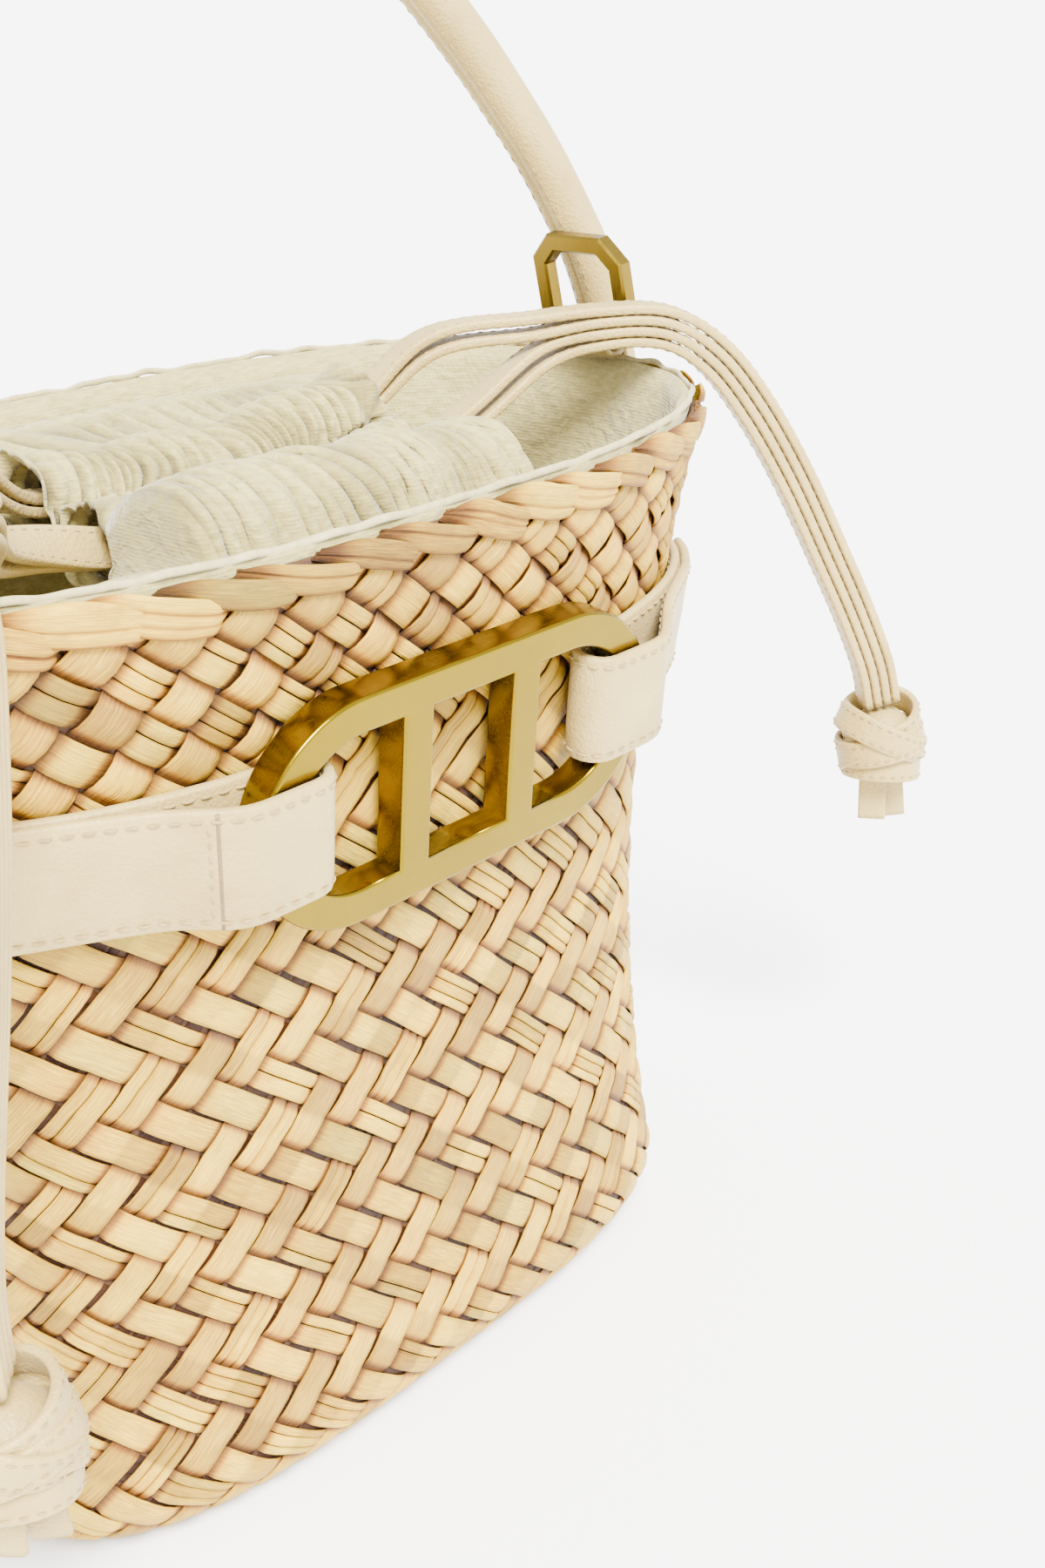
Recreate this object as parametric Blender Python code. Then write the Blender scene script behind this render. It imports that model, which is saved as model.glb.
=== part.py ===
"""Woven bucket bag: palm-leaf basket, cloth lining with two gathered casings, leather drawstrings,
belt with a metal buckle, rolled leather handle and two strap rings.

X runs along the bag's long side, -Y is the buckle side, +Z is up and the base stands on z = 0.
Lengths below are in millimetres; MM turns them into Blender's metres.
"""
import math

import bmesh
import bpy
import numpy as np
from mathutils import Matrix, Vector

MM = 0.001
GAP = 0.3  # clearance between pieces that touch

# Basket: a superellipse in plan whose half-axes flare towards the rim.
HEIGHT = 212.0
BASE_A, BASE_B = 94.0, 51.0
RIM_A, RIM_B = 118.5, 71.5
WAIST = 44.6  # how far the sides draw in between base and rim
BASE_POWER, RIM_POWER = 3.2, 2.93
CORNER = 17.0  # rounding where the sides turn into the base
WALL = 3.2
SIDES = 52  # facets round the basket
RIM_DIP = 3.5  # the rim sags this far at the middle of the front

LINING = 1.0
PIPING_R = 1.1

# Leather
BELT_WIDTH, BELT_THICK = 25.0, 2.0
BELT_GAP = 0.6
BELT_Z, BELT_RISE = 160.0, 3.0
STRAP_WIDTH, STRAP_THICK = 8.0, 2.0
STRAP_PITCH = STRAP_THICK + GAP
HANDLE_R = 6.0
HANDLE_LEAN = math.radians(6)
HINGE_X, HINGE_Z = 126.5, 205.0

# Metal
BUCKLE_X = 4.0
BUCKLE_HALF, BUCKLE_HIGH, BUCKLE_DEEP = 52.0, 49.0, 7.3
BUCKLE_RAIL, BUCKLE_POST, POST_X = 7.5, 7.5, 14.5
BUCKLE_TILT = math.radians(11)
BUCKLE_LIFT = 2.0
RING_WIRE = 4.2
RING_HALF, RING_HIGH, RING_CUT = 14.0, 26.0, 4.5
RING_X, RING_Y, RING_Z = 113.0, -6.0, 217.4
RING_LEAN = math.radians(7)


def clear_scene():
    for obj in list(bpy.data.objects):
        bpy.data.objects.remove(obj, do_unlink=True)
    for collection in list(bpy.data.collections):
        bpy.data.collections.remove(collection)


clear_scene()
parts = bpy.data.collections.new("bucket_bag")
bpy.context.scene.collection.children.link(parts)


# ---------------------------------------------------------------- materials
def material(name, color, roughness, metallic=0.0):
    made = bpy.data.materials.get(name)
    if made is None:
        made = bpy.data.materials.new(name)
        made.use_nodes = True
        shader = made.node_tree.nodes["Principled BSDF"]
        shader.inputs["Base Color"].default_value = (*color, 1.0)
        shader.inputs["Roughness"].default_value = roughness
        shader.inputs["Metallic"].default_value = metallic
        made.diffuse_color = (*color, 1.0)
    return made


def straw():
    return material("straw", (0.86, 0.66, 0.40), 0.7)


def linen():
    return material("linen", (0.74, 0.71, 0.56), 0.9)


def leather():
    return material("leather", (0.83, 0.76, 0.64), 0.5)


def brass():
    return material("brass", (0.72, 0.53, 0.20), 0.3, 1.0)


def bronze():
    return material("antique_brass", (0.45, 0.32, 0.12), 0.35, 1.0)


# ---------------------------------------------------------------- lofts
def add_mesh(name, verts, faces, finish):
    mesh = bpy.data.meshes.new(name)
    mesh.from_pydata([tuple(float(c) * MM for c in v) for v in verts], [], faces)
    mesh.materials.append(finish)
    obj = bpy.data.objects.new(name, mesh)
    parts.objects.link(obj)
    work = bmesh.new()
    work.from_mesh(mesh)
    bmesh.ops.recalc_face_normals(work, faces=work.faces)
    work.to_mesh(mesh)
    work.free()
    return obj


def loft(name, rings, finish, cyclic=False):
    """Skin closed rings of equal length: capped at both ends, or joined end to start if cyclic."""
    count = len(rings[0])
    verts = [p for ring in rings for p in ring]
    faces = []
    for i in range(len(rings) if cyclic else len(rings) - 1):
        j = (i + 1) % len(rings)
        for k in range(count):
            m = (k + 1) % count
            faces.append((i * count + k, i * count + m, j * count + m, j * count + k))
    if not cyclic:
        faces.append(tuple(range(count)))
        last = (len(rings) - 1) * count
        faces.append(tuple(last + k for k in reversed(range(count))))
    return add_mesh(name, verts, faces, finish)


def smooth_route(rows, per_step):
    """Catmull-Rom rows through the given rows, whatever their columns hold."""
    rows = np.array(rows, float)
    ends = np.vstack([2 * rows[0] - rows[1], rows, 2 * rows[-1] - rows[-2]])
    made = []
    for i in range(1, len(ends) - 2):
        p0, p1, p2, p3 = ends[i - 1 : i + 3]
        for k in range(per_step):
            t = k / per_step
            made.append(
                0.5 * (2 * p1 + (p2 - p0) * t + (2 * p0 - 5 * p1 + 4 * p2 - p3) * t**2
                       + (3 * p1 - p0 - 3 * p2 + p3) * t**3)
            )
    made.append(rows[-1])
    return np.array(made)


def unit(v):
    v = np.array(v, float)
    return v / np.linalg.norm(v, axis=-1, keepdims=True)


def strap_rings(centres, sides, width, thick, cyclic=False):
    """Rectangles across a flat strap: each side vector points across its width."""
    centres, sides = np.array(centres, float), np.array(sides, float)
    if cyclic:
        tangent = np.roll(centres, -1, 0) - np.roll(centres, 1, 0)
    else:
        tangent = np.gradient(centres, axis=0)
    tangent = unit(tangent)
    sides = unit(sides - (sides * tangent).sum(1, keepdims=True) * tangent)
    normal = np.cross(tangent, sides)
    return [
        [c + a * width / 2 * s + b * thick / 2 * n for a, b in ((-1, -1), (1, -1), (1, 1), (-1, 1))]
        for c, s, n in zip(centres, sides, normal)
    ]


def circle_rings(centres, across, up, radii, count):
    """Circles of the given radii: across and up span each circle's plane."""
    rings = []
    for c, a, u, r in zip(centres, across, up, radii):
        turn = [2 * math.pi * k / count for k in range(count)]
        rings.append([c + r * (math.cos(t) * a + math.sin(t) * u) for t in turn])
    return rings


# ---------------------------------------------------------------- basket surface
def half_axes(z):
    g = z / HEIGHT
    draw_in = WAIST * g * (1 - g)
    inset = 0.0 if z >= CORNER else CORNER - math.sqrt(max(0.0, CORNER**2 - (CORNER - z) ** 2))
    a = BASE_A + (RIM_A - BASE_A) * g - draw_in - inset
    b = BASE_B + (RIM_B - BASE_B) * g - draw_in - inset
    return a, b, BASE_POWER + (RIM_POWER - BASE_POWER) * g


def outline(z, turn, out=0.0):
    """The basket's outline at height z, out millimetres off it. turn is 0 at the front, 90 deg at +X."""
    a, b, power = half_axes(z)
    s, c = math.sin(turn), math.cos(turn)
    x = (a + out) * math.copysign(abs(s) ** (2 / power), s)
    y = -(b + out) * math.copysign(abs(c) ** (2 / power), c)
    return np.array([x, y, z])


def front_turn(x, z):
    """The turn at which the outline at height z crosses x on the front."""
    a, _, power = half_axes(z)
    return math.copysign(math.asin(min(1.0, (abs(x) / a)) ** (power / 2)), x)


def dip(turn, z):
    """How far the rim's sag lowers the wall there."""
    front = max(0.0, math.cos(turn))
    height = max(0.0, (z - 150.0) / (HEIGHT - 150.0))
    return RIM_DIP * front**2 * height**2


def wall_ring(z, out, count, lift=0.0):
    ring = []
    for k in range(count):
        turn = 2 * math.pi * (k + 0.5) / count
        p = outline(z, turn, out)
        p[2] += lift - dip(turn, z)
        ring.append(p)
    return ring


def basket_body():
    levels = [0, 1, 3, 6.5, 11, 17, 35, 60, 90, 120, 148, 172, 194, HEIGHT]
    outer = [wall_ring(z, 0.0, SIDES) for z in levels]
    inner = [wall_ring(z, -WALL, SIDES) for z in levels if z > WALL]
    base = wall_ring(0, -WALL + 2, SIDES, lift=WALL)
    return loft("basket_body", outer + inner[::-1] + [base], straw())


def lining():
    out = -WALL - GAP
    levels = [6.5, 11, 17, 35, 60, 90, 120, 148, 172, 194, HEIGHT - 2 * PIPING_R - GAP]
    outer = [wall_ring(z, out, SIDES) for z in levels]
    inner = [wall_ring(z, out - LINING, SIDES) for z in levels]
    base = wall_ring(0, out + 2, SIDES, lift=WALL + GAP)
    floor = wall_ring(0, out + 2 - LINING, SIDES, lift=WALL + GAP + LINING)
    return loft("lining", [base] + outer + inner[::-1] + [floor], linen())


def rim_piping():
    rings = []
    for k in range(SIDES):
        turn = 2 * math.pi * (k + 0.5) / SIDES
        ring = []
        for m in range(8):
            angle = 2 * math.pi * m / 8
            p = outline(HEIGHT, turn, -WALL - 1.5 * GAP - PIPING_R * (1 - math.cos(angle)))
            p[2] += PIPING_R * (math.sin(angle) - 0.9) - dip(turn, HEIGHT)
            ring.append(p)
        rings.append(ring)
    return loft("rim_piping", rings, linen(), cyclic=True)


# ---------------------------------------------------------------- casings and flaps
CASING_R, CASING_BORE = 8.4, 6.1
FRONT_CASING = [(-34, -11, 200), (-20, -12.5, 198.5), (-4, -14, 197), (14, -13.5, 197.3), (33, -10.5, 198.8),
                (47, -8, 200)]
REAR_CASING = [(-34, 8, 206), (-11, 6.5, 204.5), (10, 6, 204.5), (32, 7.5, 206.5), (51, 9, 209.5)]
UP, ACROSS = np.array([0, 0, 1.0]), np.array([0, 1.0, 0])


def casing(name, route):
    centres = smooth_route(route, 3)
    across, up = [ACROSS] * len(centres), [UP] * len(centres)
    outer = circle_rings(centres, across, up, [CASING_R] * len(centres), 16)
    inner = circle_rings(centres, across, up, [CASING_BORE] * len(centres), 16)
    return loft(name, outer + inner[::-1], linen(), cyclic=True)


def flap(name, route, side, spread):
    """The cloth between the rim and a casing: side is -1 at the front, 1 at the rear."""
    centres = smooth_route(route, 2)
    rings = []
    for k, c in enumerate(centres):
        u = 2 * k / (len(centres) - 1) - 1
        turn = math.pi * (side > 0) - side * (0.1 + spread * u)
        rim = outline(HEIGHT, turn, -WALL - LINING - 3 * GAP - 1.2)
        rim[2] += -4.2 - dip(turn, HEIGHT)
        near = c + np.array([0, side * (CASING_R * 0.92 + 1.2), -2.0])
        top, low = [], []
        for v in (0.0, 0.33, 0.67, 1.0):
            p = near + (rim - near) * v
            p[2] -= 5.0 * math.sin(math.pi * v)
            top.append(p + 0.5 * UP)
            low.append(p - 0.5 * UP)
        rings.append(top + low[::-1])
    return loft(name, rings, linen())


# ---------------------------------------------------------------- drawstrings
LEFT_SIDE = (-0.70, 0.71, 0)
RIGHT_SIDE = (0.56, 0.83, 0)
# Each row: the bundle's middle, then the direction across a strap.
LEFT_BUNDLE = [
    ((-111.7, -58, 80), LEFT_SIDE),
    ((-112.3, -61, 96), LEFT_SIDE),
    ((-111.3, -65, 115), LEFT_SIDE),
    ((-109, -69, 136), LEFT_SIDE),
    ((-106, -72, 157), LEFT_SIDE),
    ((-103, -74, 177), LEFT_SIDE),
    ((-99.5, -73.5, 194), LEFT_SIDE),
    ((-94.5, -69.5, 209), LEFT_SIDE),
    ((-88.5, -61, 218.7), LEFT_SIDE),
    ((-80, -50, 222), LEFT_SIDE),
    ((-71, -39, 219.5), LEFT_SIDE),
]
RIGHT_BUNDLE = [
    ((87, -11.5, 220), RIGHT_SIDE),
    ((100, -21, 222.5), RIGHT_SIDE),
    ((112, -30, 221.5), RIGHT_SIDE),
    ((121.5, -36.5, 214), RIGHT_SIDE),
    ((130, -41.5, 200.5), RIGHT_SIDE),
    ((138, -46.5, 182.5), RIGHT_SIDE),
    ((145.5, -51, 162), RIGHT_SIDE),
    ((151.5, -54.5, 145), RIGHT_SIDE),
    ((156, -57, 130), RIGHT_SIDE),
    ((157.5, -58, 119), RIGHT_SIDE),
]
LOOSE = 1.5  # the straps fan out where they leave the casings
EDGEWISE, FLATWISE = (0, 0.25, 1), (0, 1, 0)


def drawstring_rows(number):
    """One strap from the left knot through its casing to the right knot: place, stack offset, side."""
    front = number < 2
    route = FRONT_CASING if front else REAR_CASING
    start_side = EDGEWISE if front else FLATWISE
    stack = (number - 1.5) * STRAP_PITCH
    within = (number % 2 - 0.5) * (STRAP_PITCH + 0.2)
    left_mouth, right_mouth = np.array(route[0], float), np.array(route[-1], float)
    loose = stack * LOOSE
    rows = [(*p, stack, *s) for p, s in LEFT_BUNDLE[:-1]]
    rows.append((*LEFT_BUNDLE[-1][0], loose, *LEFT_SIDE))
    approach = left_mouth + (-22, -9 if front else -17, 9 if front else 9.5)
    rows.append((*approach, loose, *unit(np.add(LEFT_SIDE, start_side))))
    for k, p in enumerate(route):
        turned = k / (len(route) - 1)
        rows.append((*p, within, *unit(np.array(start_side) * (1 - turned) + np.array(FLATWISE) * turned)))
    leave = right_mouth + ((20, 1.0, 9) if front else (17, -8.0, 8.5))
    rows.append((*leave, loose, *unit(np.add(RIGHT_SIDE, FLATWISE))))
    rows.append((*RIGHT_BUNDLE[0][0], loose, *RIGHT_SIDE))
    rows += [(*p, stack, *s) for p, s in RIGHT_BUNDLE[1:]]
    return rows


def strap_line(number, per_step):
    """Centres and side vectors along a drawstring strap."""
    rows = smooth_route(drawstring_rows(number), per_step)
    centres, offsets, sides = rows[:, :3], rows[:, 3:4], rows[:, 4:]
    tangent = unit(np.gradient(centres, axis=0))
    sides = unit(sides - (sides * tangent).sum(1, keepdims=True) * tangent)
    return centres + offsets * np.cross(tangent, sides), sides


def drawstring(number):
    centres, sides = strap_line(number, 4)
    return loft(f"drawstring_{number + 1}", strap_rings(centres, sides, STRAP_WIDTH, STRAP_THICK), leather())


def knot(name, top, scale, lean):
    """A plain solid for the tied bunch and its two tails; top is the middle of its upper face."""
    profile = [(0, 6.8, 6.8), (-3.5, 10.2, 9.6), (-9, 11.8, 10.6), (-15, 10.6, 9.4), (-19, 6.0, 5.0),
               (-20.5, 4.2, 2.4), (-31, 4.2, 2.4)]
    rings = []
    for drop, wide, deep in profile:
        c = np.array(top, float) + np.array([lean[0] * -drop, lean[1] * -drop, drop]) * scale
        ring = []
        for m in range(12):
            angle = 2 * math.pi * (m + 0.5) / 12
            ring.append(c + scale * np.array([wide * math.cos(angle), deep * math.sin(angle), 0]))
        rings.append(ring)
    return loft(name, rings, leather())


# ---------------------------------------------------------------- belt
FOLD_IN = 17.0  # how far inside the buckle's end the belt folds back
FRONT_LAYER_END = math.radians(66)
FRONT_Z = BELT_Z - BELT_RISE


def on_wall(turn, out, up):
    """A point out millimetres off the wall, up millimetres above the belt's middle."""
    z = BELT_Z - BELT_RISE * math.cos(2 * turn) + up
    p = outline(z, turn, out * math.cos(BUCKLE_TILT))
    p[2] -= out * math.sin(BUCKLE_TILT)
    return p


def on_plane(x, out, up):
    """The same, off the leaning plane that touches the front of the wall."""
    c, s = math.cos(BUCKLE_TILT), math.sin(BUCKLE_TILT)
    return np.array([x, -half_axes(FRONT_Z)[1] - out * c - up * s, FRONT_Z - out * s + up * c])


def belt_end(sign):
    """The belt's middle from its free end over the buckle's end bar to where it lies back on the wall."""
    back = BELT_GAP + BELT_THICK / 2
    over_back = back + BELT_THICK + GAP
    over_bar = BUCKLE_LIFT + BUCKLE_DEEP + GAP + BELT_THICK / 2
    bar = BUCKLE_X + sign * BUCKLE_HALF
    low = back - 0.9
    radius = (over_bar - low) / 2
    fold = bar - sign * (FOLD_IN - radius)
    end = [(on_wall, sign * math.radians(turn), over_back) for turn in (66, 60, 54, 48)]
    end += [(on_wall, front_turn(bar + sign * 13, FRONT_Z), over_back + 1.5)]
    end += [(on_plane, bar + sign * x, over_bar - y) for x, y in ((6, 2.2), (1.5, 0.3), (-4, 0), (-10, 0))]
    for k in range(7):
        angle = math.pi * k / 6
        end.append((on_plane, fold - sign * radius * math.sin(angle), low + radius + radius * math.cos(angle)))
    end += [(on_wall, front_turn(bar - sign * x, FRONT_Z), back) for x in (9, 3, -3)]
    return end


def belt_path():
    right, left = belt_end(1), belt_end(-1)
    first, last = right[-1][1], 2 * math.pi + left[-1][1]
    back = right[-1][2]
    round_back = [(on_wall, first + (last - first) * k / 36, back) for k in range(1, 36)]
    return right + round_back + left[::-1]


def belt_strap():
    half, thin = BELT_WIDTH / 2, BELT_THICK / 2
    path = belt_path()
    middles = np.array([place(x, out, 0) for place, x, out in path])
    tangent = np.gradient(middles, axis=0)
    rings = []
    for (place, x, out), t in zip(path, tangent):
        low, high = place(x, out, -half), place(x, out, half)
        normal = unit(np.cross(t, high - low)) * thin
        rings.append([low - normal, low + normal, high + normal, high - normal])
    return loft("belt_strap", rings, leather())


# ---------------------------------------------------------------- buckle
def stadium(half_long, half_high, steps=10):
    """A flat-sided oval with elliptical ends, anticlockwise."""
    end = half_high * 1.3
    pts = []
    for k in range(steps + 1):
        angle = math.pi * (k / steps - 0.5)
        pts.append((half_long - end + end * math.cos(angle), half_high * math.sin(angle)))
    return pts + [(-x, -y) for x, y in pts]


def window(left, right, half_long, half_high):
    """The part of an inner oval between two upright posts, with square corners at the posts."""
    inner = stadium(half_long, half_high, 16)
    end = half_high * 1.3

    def height(x):
        past = max(0.0, abs(x) - (half_long - end))
        return half_high * math.sqrt(max(0.0, 1 - (past / end) ** 2))

    inside = [(x, y) for x, y in inner if left < x < right]
    corners = [(x, s * height(x)) for x in (left, right) for s in (-1, 1) if abs(x) < half_long]
    middle = ((left + right) / 2, 0.0)
    return sorted(set(inside + corners), key=lambda p: math.atan2(p[1] - middle[1], p[0] - middle[0]))


def buckle_frame():
    flat = bpy.data.curves.new("buckle_outline", "CURVE")
    flat.dimensions = "2D"
    flat.fill_mode = "BOTH"
    edge = 0.7
    flat.bevel_depth = edge * MM
    flat.bevel_resolution = 1
    flat.extrude = (BUCKLE_DEEP / 2 - edge) * MM
    half_l, half_h = BUCKLE_HALF - BUCKLE_RAIL, BUCKLE_HIGH / 2 - BUCKLE_RAIL
    near, far = POST_X - BUCKLE_POST / 2, POST_X + BUCKLE_POST / 2
    loops = [stadium(BUCKLE_HALF, BUCKLE_HIGH / 2, 14)]
    loops += [window(-near, near, half_l, half_h), window(far, half_l + 1, half_l, half_h)]
    loops += [[(-x, -y) for x, y in loops[2]]]
    for number, loop in enumerate(loops):
        spline = flat.splines.new("POLY")
        spline.points.add(len(loop) - 1)
        shrink = edge if number == 0 else -edge
        middle = np.mean(loop, axis=0)
        for point, (x, y) in zip(spline.points, loop):
            away = np.sign(np.array([x, y]) - middle) if number else unit((x * 0.5, y))
            x, y = x - shrink * away[0], y - shrink * away[1]
            point.co = (x * MM, y * MM, 0, 1)
        spline.use_cyclic_u = True
    source = bpy.data.objects.new("buckle_outline", flat)
    parts.objects.link(source)
    graph = bpy.context.evaluated_depsgraph_get()
    mesh = bpy.data.meshes.new_from_object(source.evaluated_get(graph))
    bpy.data.objects.remove(source, do_unlink=True)
    work = bmesh.new()
    work.from_mesh(mesh)
    bmesh.ops.remove_doubles(work, verts=work.verts, dist=0.00002)
    bmesh.ops.recalc_face_normals(work, faces=work.faces)
    work.to_mesh(mesh)
    work.free()
    mesh.materials.clear()
    mesh.materials.append(brass())
    frame = bpy.data.objects.new("buckle_frame", mesh)
    parts.objects.link(frame)
    z = BELT_Z - BELT_RISE
    out = BUCKLE_LIFT + BUCKLE_DEEP / 2
    foot = outline(z, 0.0, out * math.cos(BUCKLE_TILT))
    frame.location = Vector((BUCKLE_X, foot[1], z - out * math.sin(BUCKLE_TILT))) * MM
    frame.rotation_euler = (math.pi / 2 + BUCKLE_TILT, 0, 0)
    return frame


# ---------------------------------------------------------------- handle and its ends
ARCH = [(126.5, 0), (126.2, 8), (124.8, 17), (121.5, 30), (116.6, 42), (110.6, 54.5), (103, 66.5), (94, 79),
        (83.5, 91.5), (71, 105), (56, 117.5), (38.5, 127.5), (19.5, 133.5), (0, 135.5)]


def handle():
    half = [(x, h) for x, h in ARCH]
    route = half + [(-x, h) for x, h in half[-2::-1]]
    flat = smooth_route(route, 2)
    lean = np.array([0, math.sin(HANDLE_LEAN), math.cos(HANDLE_LEAN)])
    centres = np.array([np.array([x, 0, HINGE_Z]) + h * lean for x, h in flat])
    tangent = unit(np.gradient(centres, axis=0))
    out_of_plane = np.array([0, math.cos(HANDLE_LEAN), -math.sin(HANDLE_LEAN)])
    spots, across, up, radii = [], [], [], []
    for end, step in ((0, -1), (-1, 1)):
        cap = [(centres[end] + step * tangent[end] * HANDLE_R * math.sin(a), HANDLE_R * math.cos(a))
               for a in (math.radians(d) for d in (80, 55, 28))]
        rows = [(p, r, tangent[end]) for p, r in cap]
        if end == 0:
            rows += [(p, HANDLE_R, t) for p, t in zip(centres, tangent)]
        else:
            rows = rows[::-1]
        for p, r, t in rows:
            spots.append(p)
            radii.append(r)
            across.append(out_of_plane)
            up.append(np.cross(t, out_of_plane))
    obj = loft("handle", circle_rings(spots, across, up, radii, 12), leather())
    return set_origin(obj, (0, 0, HINGE_Z))


def set_origin(obj, place):
    shift = Vector(place) * MM
    obj.data.transform(Matrix.Translation(-shift))
    obj.location = shift
    return obj


def end_wall(z, out):
    return half_axes(z)[0] + out


def upright_strip(name, levels, width, near, thick, sign):
    """A strip lying up the end wall, near millimetres off it."""
    rings = []
    for z, scale in levels:
        w = width * scale / 2
        inner, outer = end_wall(z, near), end_wall(z, near + thick)
        rings.append([(sign * inner, -w, z), (sign * outer, -w, z - 0.4), (sign * outer, w, z - 0.4),
                      (sign * inner, w, z)])
    return loft(name, rings, leather())


def handle_tab(side, sign):
    levels = [(176.5, 0.5), (178.0, 0.78), (181.5, 1.0), (192, 1.0), (203, 1.0)]
    return upright_strip(f"handle_tab_{side}", levels, 24, GAP, 1.8, sign)


def handle_end(side, sign):
    levels = [(181.5, 0.7), (183.0, 1.0), (191.0, 0.95), (198.5, 0.8)]
    return upright_strip(f"handle_end_{side}", levels, 15, 2 * GAP + 1.8, 7.0, sign)


# ---------------------------------------------------------------- strap rings
def strap_ring(side, sign):
    """An octagonal ring of square wire that leans in from its lower bar."""
    half, high, cut = RING_HALF - RING_WIRE / 2, RING_HIGH - RING_WIRE, RING_CUT
    corners = [(-half, 1), (-half + 1, 0), (half - 1, 0), (half, 1), (half, high - cut), (half - cut, high),
               (cut - half, high), (-half, high - cut)]
    lean = np.array([-math.sin(RING_LEAN), 0, math.cos(RING_LEAN)])
    out = np.array([math.cos(RING_LEAN), 0, math.sin(RING_LEAN)])
    origin = np.array([RING_X, RING_Y, RING_Z])
    spots = [origin + y * ACROSS + h * lean for y, h in corners]
    rings = []
    for k, p in enumerate(spots):
        before, after = unit(p - spots[k - 1]), unit(spots[(k + 1) % len(spots)] - p)
        mitre = unit(np.cross(before, out) + np.cross(after, out))
        stretch = 1 / max(0.5, float(np.dot(mitre, np.cross(before, out))))
        w = RING_WIRE / 2
        ring = [p + a * w * stretch * mitre + b * w * out for a, b in ((-1, -1), (1, -1), (1, 1), (-1, 1))]
        rings.append([np.array([sign * q[0], q[1], q[2]]) for q in ring])
    obj = loft(f"ring_{side}", rings, bronze(), cyclic=True)
    return set_origin(obj, (sign * RING_X, RING_Y, RING_Z))


def ring_loop(side, sign):
    """A short leather loop round the ring's lower bar, sewn down on the rim."""
    inner, thick = RING_WIRE / 2 * 1.45 + GAP, 1.5
    mid = inner + thick / 2
    spots = []
    for k in range(14):
        angle = 2 * math.pi * k / 14
        spots.append((sign * (RING_X + mid * math.cos(angle)), RING_Y, RING_Z + mid * math.sin(angle)))
    rings = strap_rings(spots, [ACROSS] * len(spots), 15.0, thick, cyclic=True)
    return loft(f"ring_loop_{side}", rings, leather(), cyclic=True)


# ---------------------------------------------------------------- assembly
basket_body()
lining()
rim_piping()
casing("casing_front", FRONT_CASING)
casing("casing_rear", REAR_CASING)
flap("flap_front", FRONT_CASING, -1, 0.50)
flap("flap_rear", REAR_CASING, 1, 0.50)
for strap_number in range(4):
    drawstring(strap_number)
knot("knot_right", (157.8, -58.2, 118.3), 1.18, (0.0, 0.0))
knot("knot_left", (-111.5, -57.8, 77.6), 1.22, (0.0, 0.0))
belt_strap()
buckle_frame()
handle()
for end_name, end_sign in (("right", 1), ("left", -1)):
    handle_tab(end_name, end_sign)
    handle_end(end_name, end_sign)
    strap_ring(end_name, end_sign)
    ring_loop(end_name, end_sign)
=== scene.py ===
"""The looks of a woven bucket bag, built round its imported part.

Lengths are in millimetres until a mesh is made. +X is the bag's right end, -Y its front, +Z up.
"""

import math

import bmesh
import bpy
import numpy as np
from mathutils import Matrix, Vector


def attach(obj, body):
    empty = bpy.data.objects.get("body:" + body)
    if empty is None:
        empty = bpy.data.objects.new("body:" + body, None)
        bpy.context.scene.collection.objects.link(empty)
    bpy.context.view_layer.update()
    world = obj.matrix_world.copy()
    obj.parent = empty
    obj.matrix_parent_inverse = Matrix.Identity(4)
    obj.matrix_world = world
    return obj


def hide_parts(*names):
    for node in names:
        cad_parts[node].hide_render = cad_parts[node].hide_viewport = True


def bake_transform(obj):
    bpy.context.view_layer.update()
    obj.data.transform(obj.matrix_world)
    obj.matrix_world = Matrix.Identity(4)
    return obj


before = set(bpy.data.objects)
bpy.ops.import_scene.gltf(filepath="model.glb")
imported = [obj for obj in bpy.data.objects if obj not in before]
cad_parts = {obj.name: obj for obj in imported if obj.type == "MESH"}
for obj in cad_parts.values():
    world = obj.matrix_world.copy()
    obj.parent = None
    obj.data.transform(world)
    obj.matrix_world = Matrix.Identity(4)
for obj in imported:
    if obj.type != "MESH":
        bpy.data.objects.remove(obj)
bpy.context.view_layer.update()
MM = 0.001
UP = np.array([0.0, 0.0, 1.0])
rng = np.random.default_rng(11)

# ------------------------------------------------------------------ the basket's shape
HEIGHT = 212.0
BASE_A, BASE_B = 94.0, 51.0  # half the base's length and depth
RIM_A, RIM_B = 118.5, 71.5
WAIST = 44.6  # how far the wall draws in between base and rim
BASE_POWER, RIM_POWER = 3.2, 2.93  # powers of the outlines, which are superellipses
CORNER = 17.0
RIM_DIP = 3.5

# ------------------------------------------------------------------ the weave
STRIP_STEP = 11.1  # along the wall at mid height, from one strip to the next
STRIP_SLOPE = 0.95  # rise over run of every strip
PLAIN_FROM = 158.0  # under the belt the weave turns from two-over-two to one-over-one
STRIP_THICK = 0.5
WAVE = 0.62
SINK = -0.8

# ------------------------------------------------------------------ the gathered mouth
CASING_R = 8.6
PLEAT = 3.7
CLOTH_THICK = 0.7

# ------------------------------------------------------------------ belt and buckle
BELT_WIDTH, BELT_THICK = 25.0, 2.0
BELT_GAP = 0.9
BELT_Z, BELT_RISE = 160.0, 3.0
FOLD_IN = 17.0
BELT_JOIN_X = -57.0
BUCKLE_X = 4.0
BUCKLE_HALF, BUCKLE_HIGH, BUCKLE_DEEP = 52.0, 49.0, 7.3
BUCKLE_RAIL, BUCKLE_POST, POST_X = 7.5, 7.5, 14.5
BUCKLE_EDGE = 0.75
BUCKLE_TILT = math.radians(11)
BUCKLE_LIFT = 2.0
FRONT_Z = BELT_Z - BELT_RISE

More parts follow.
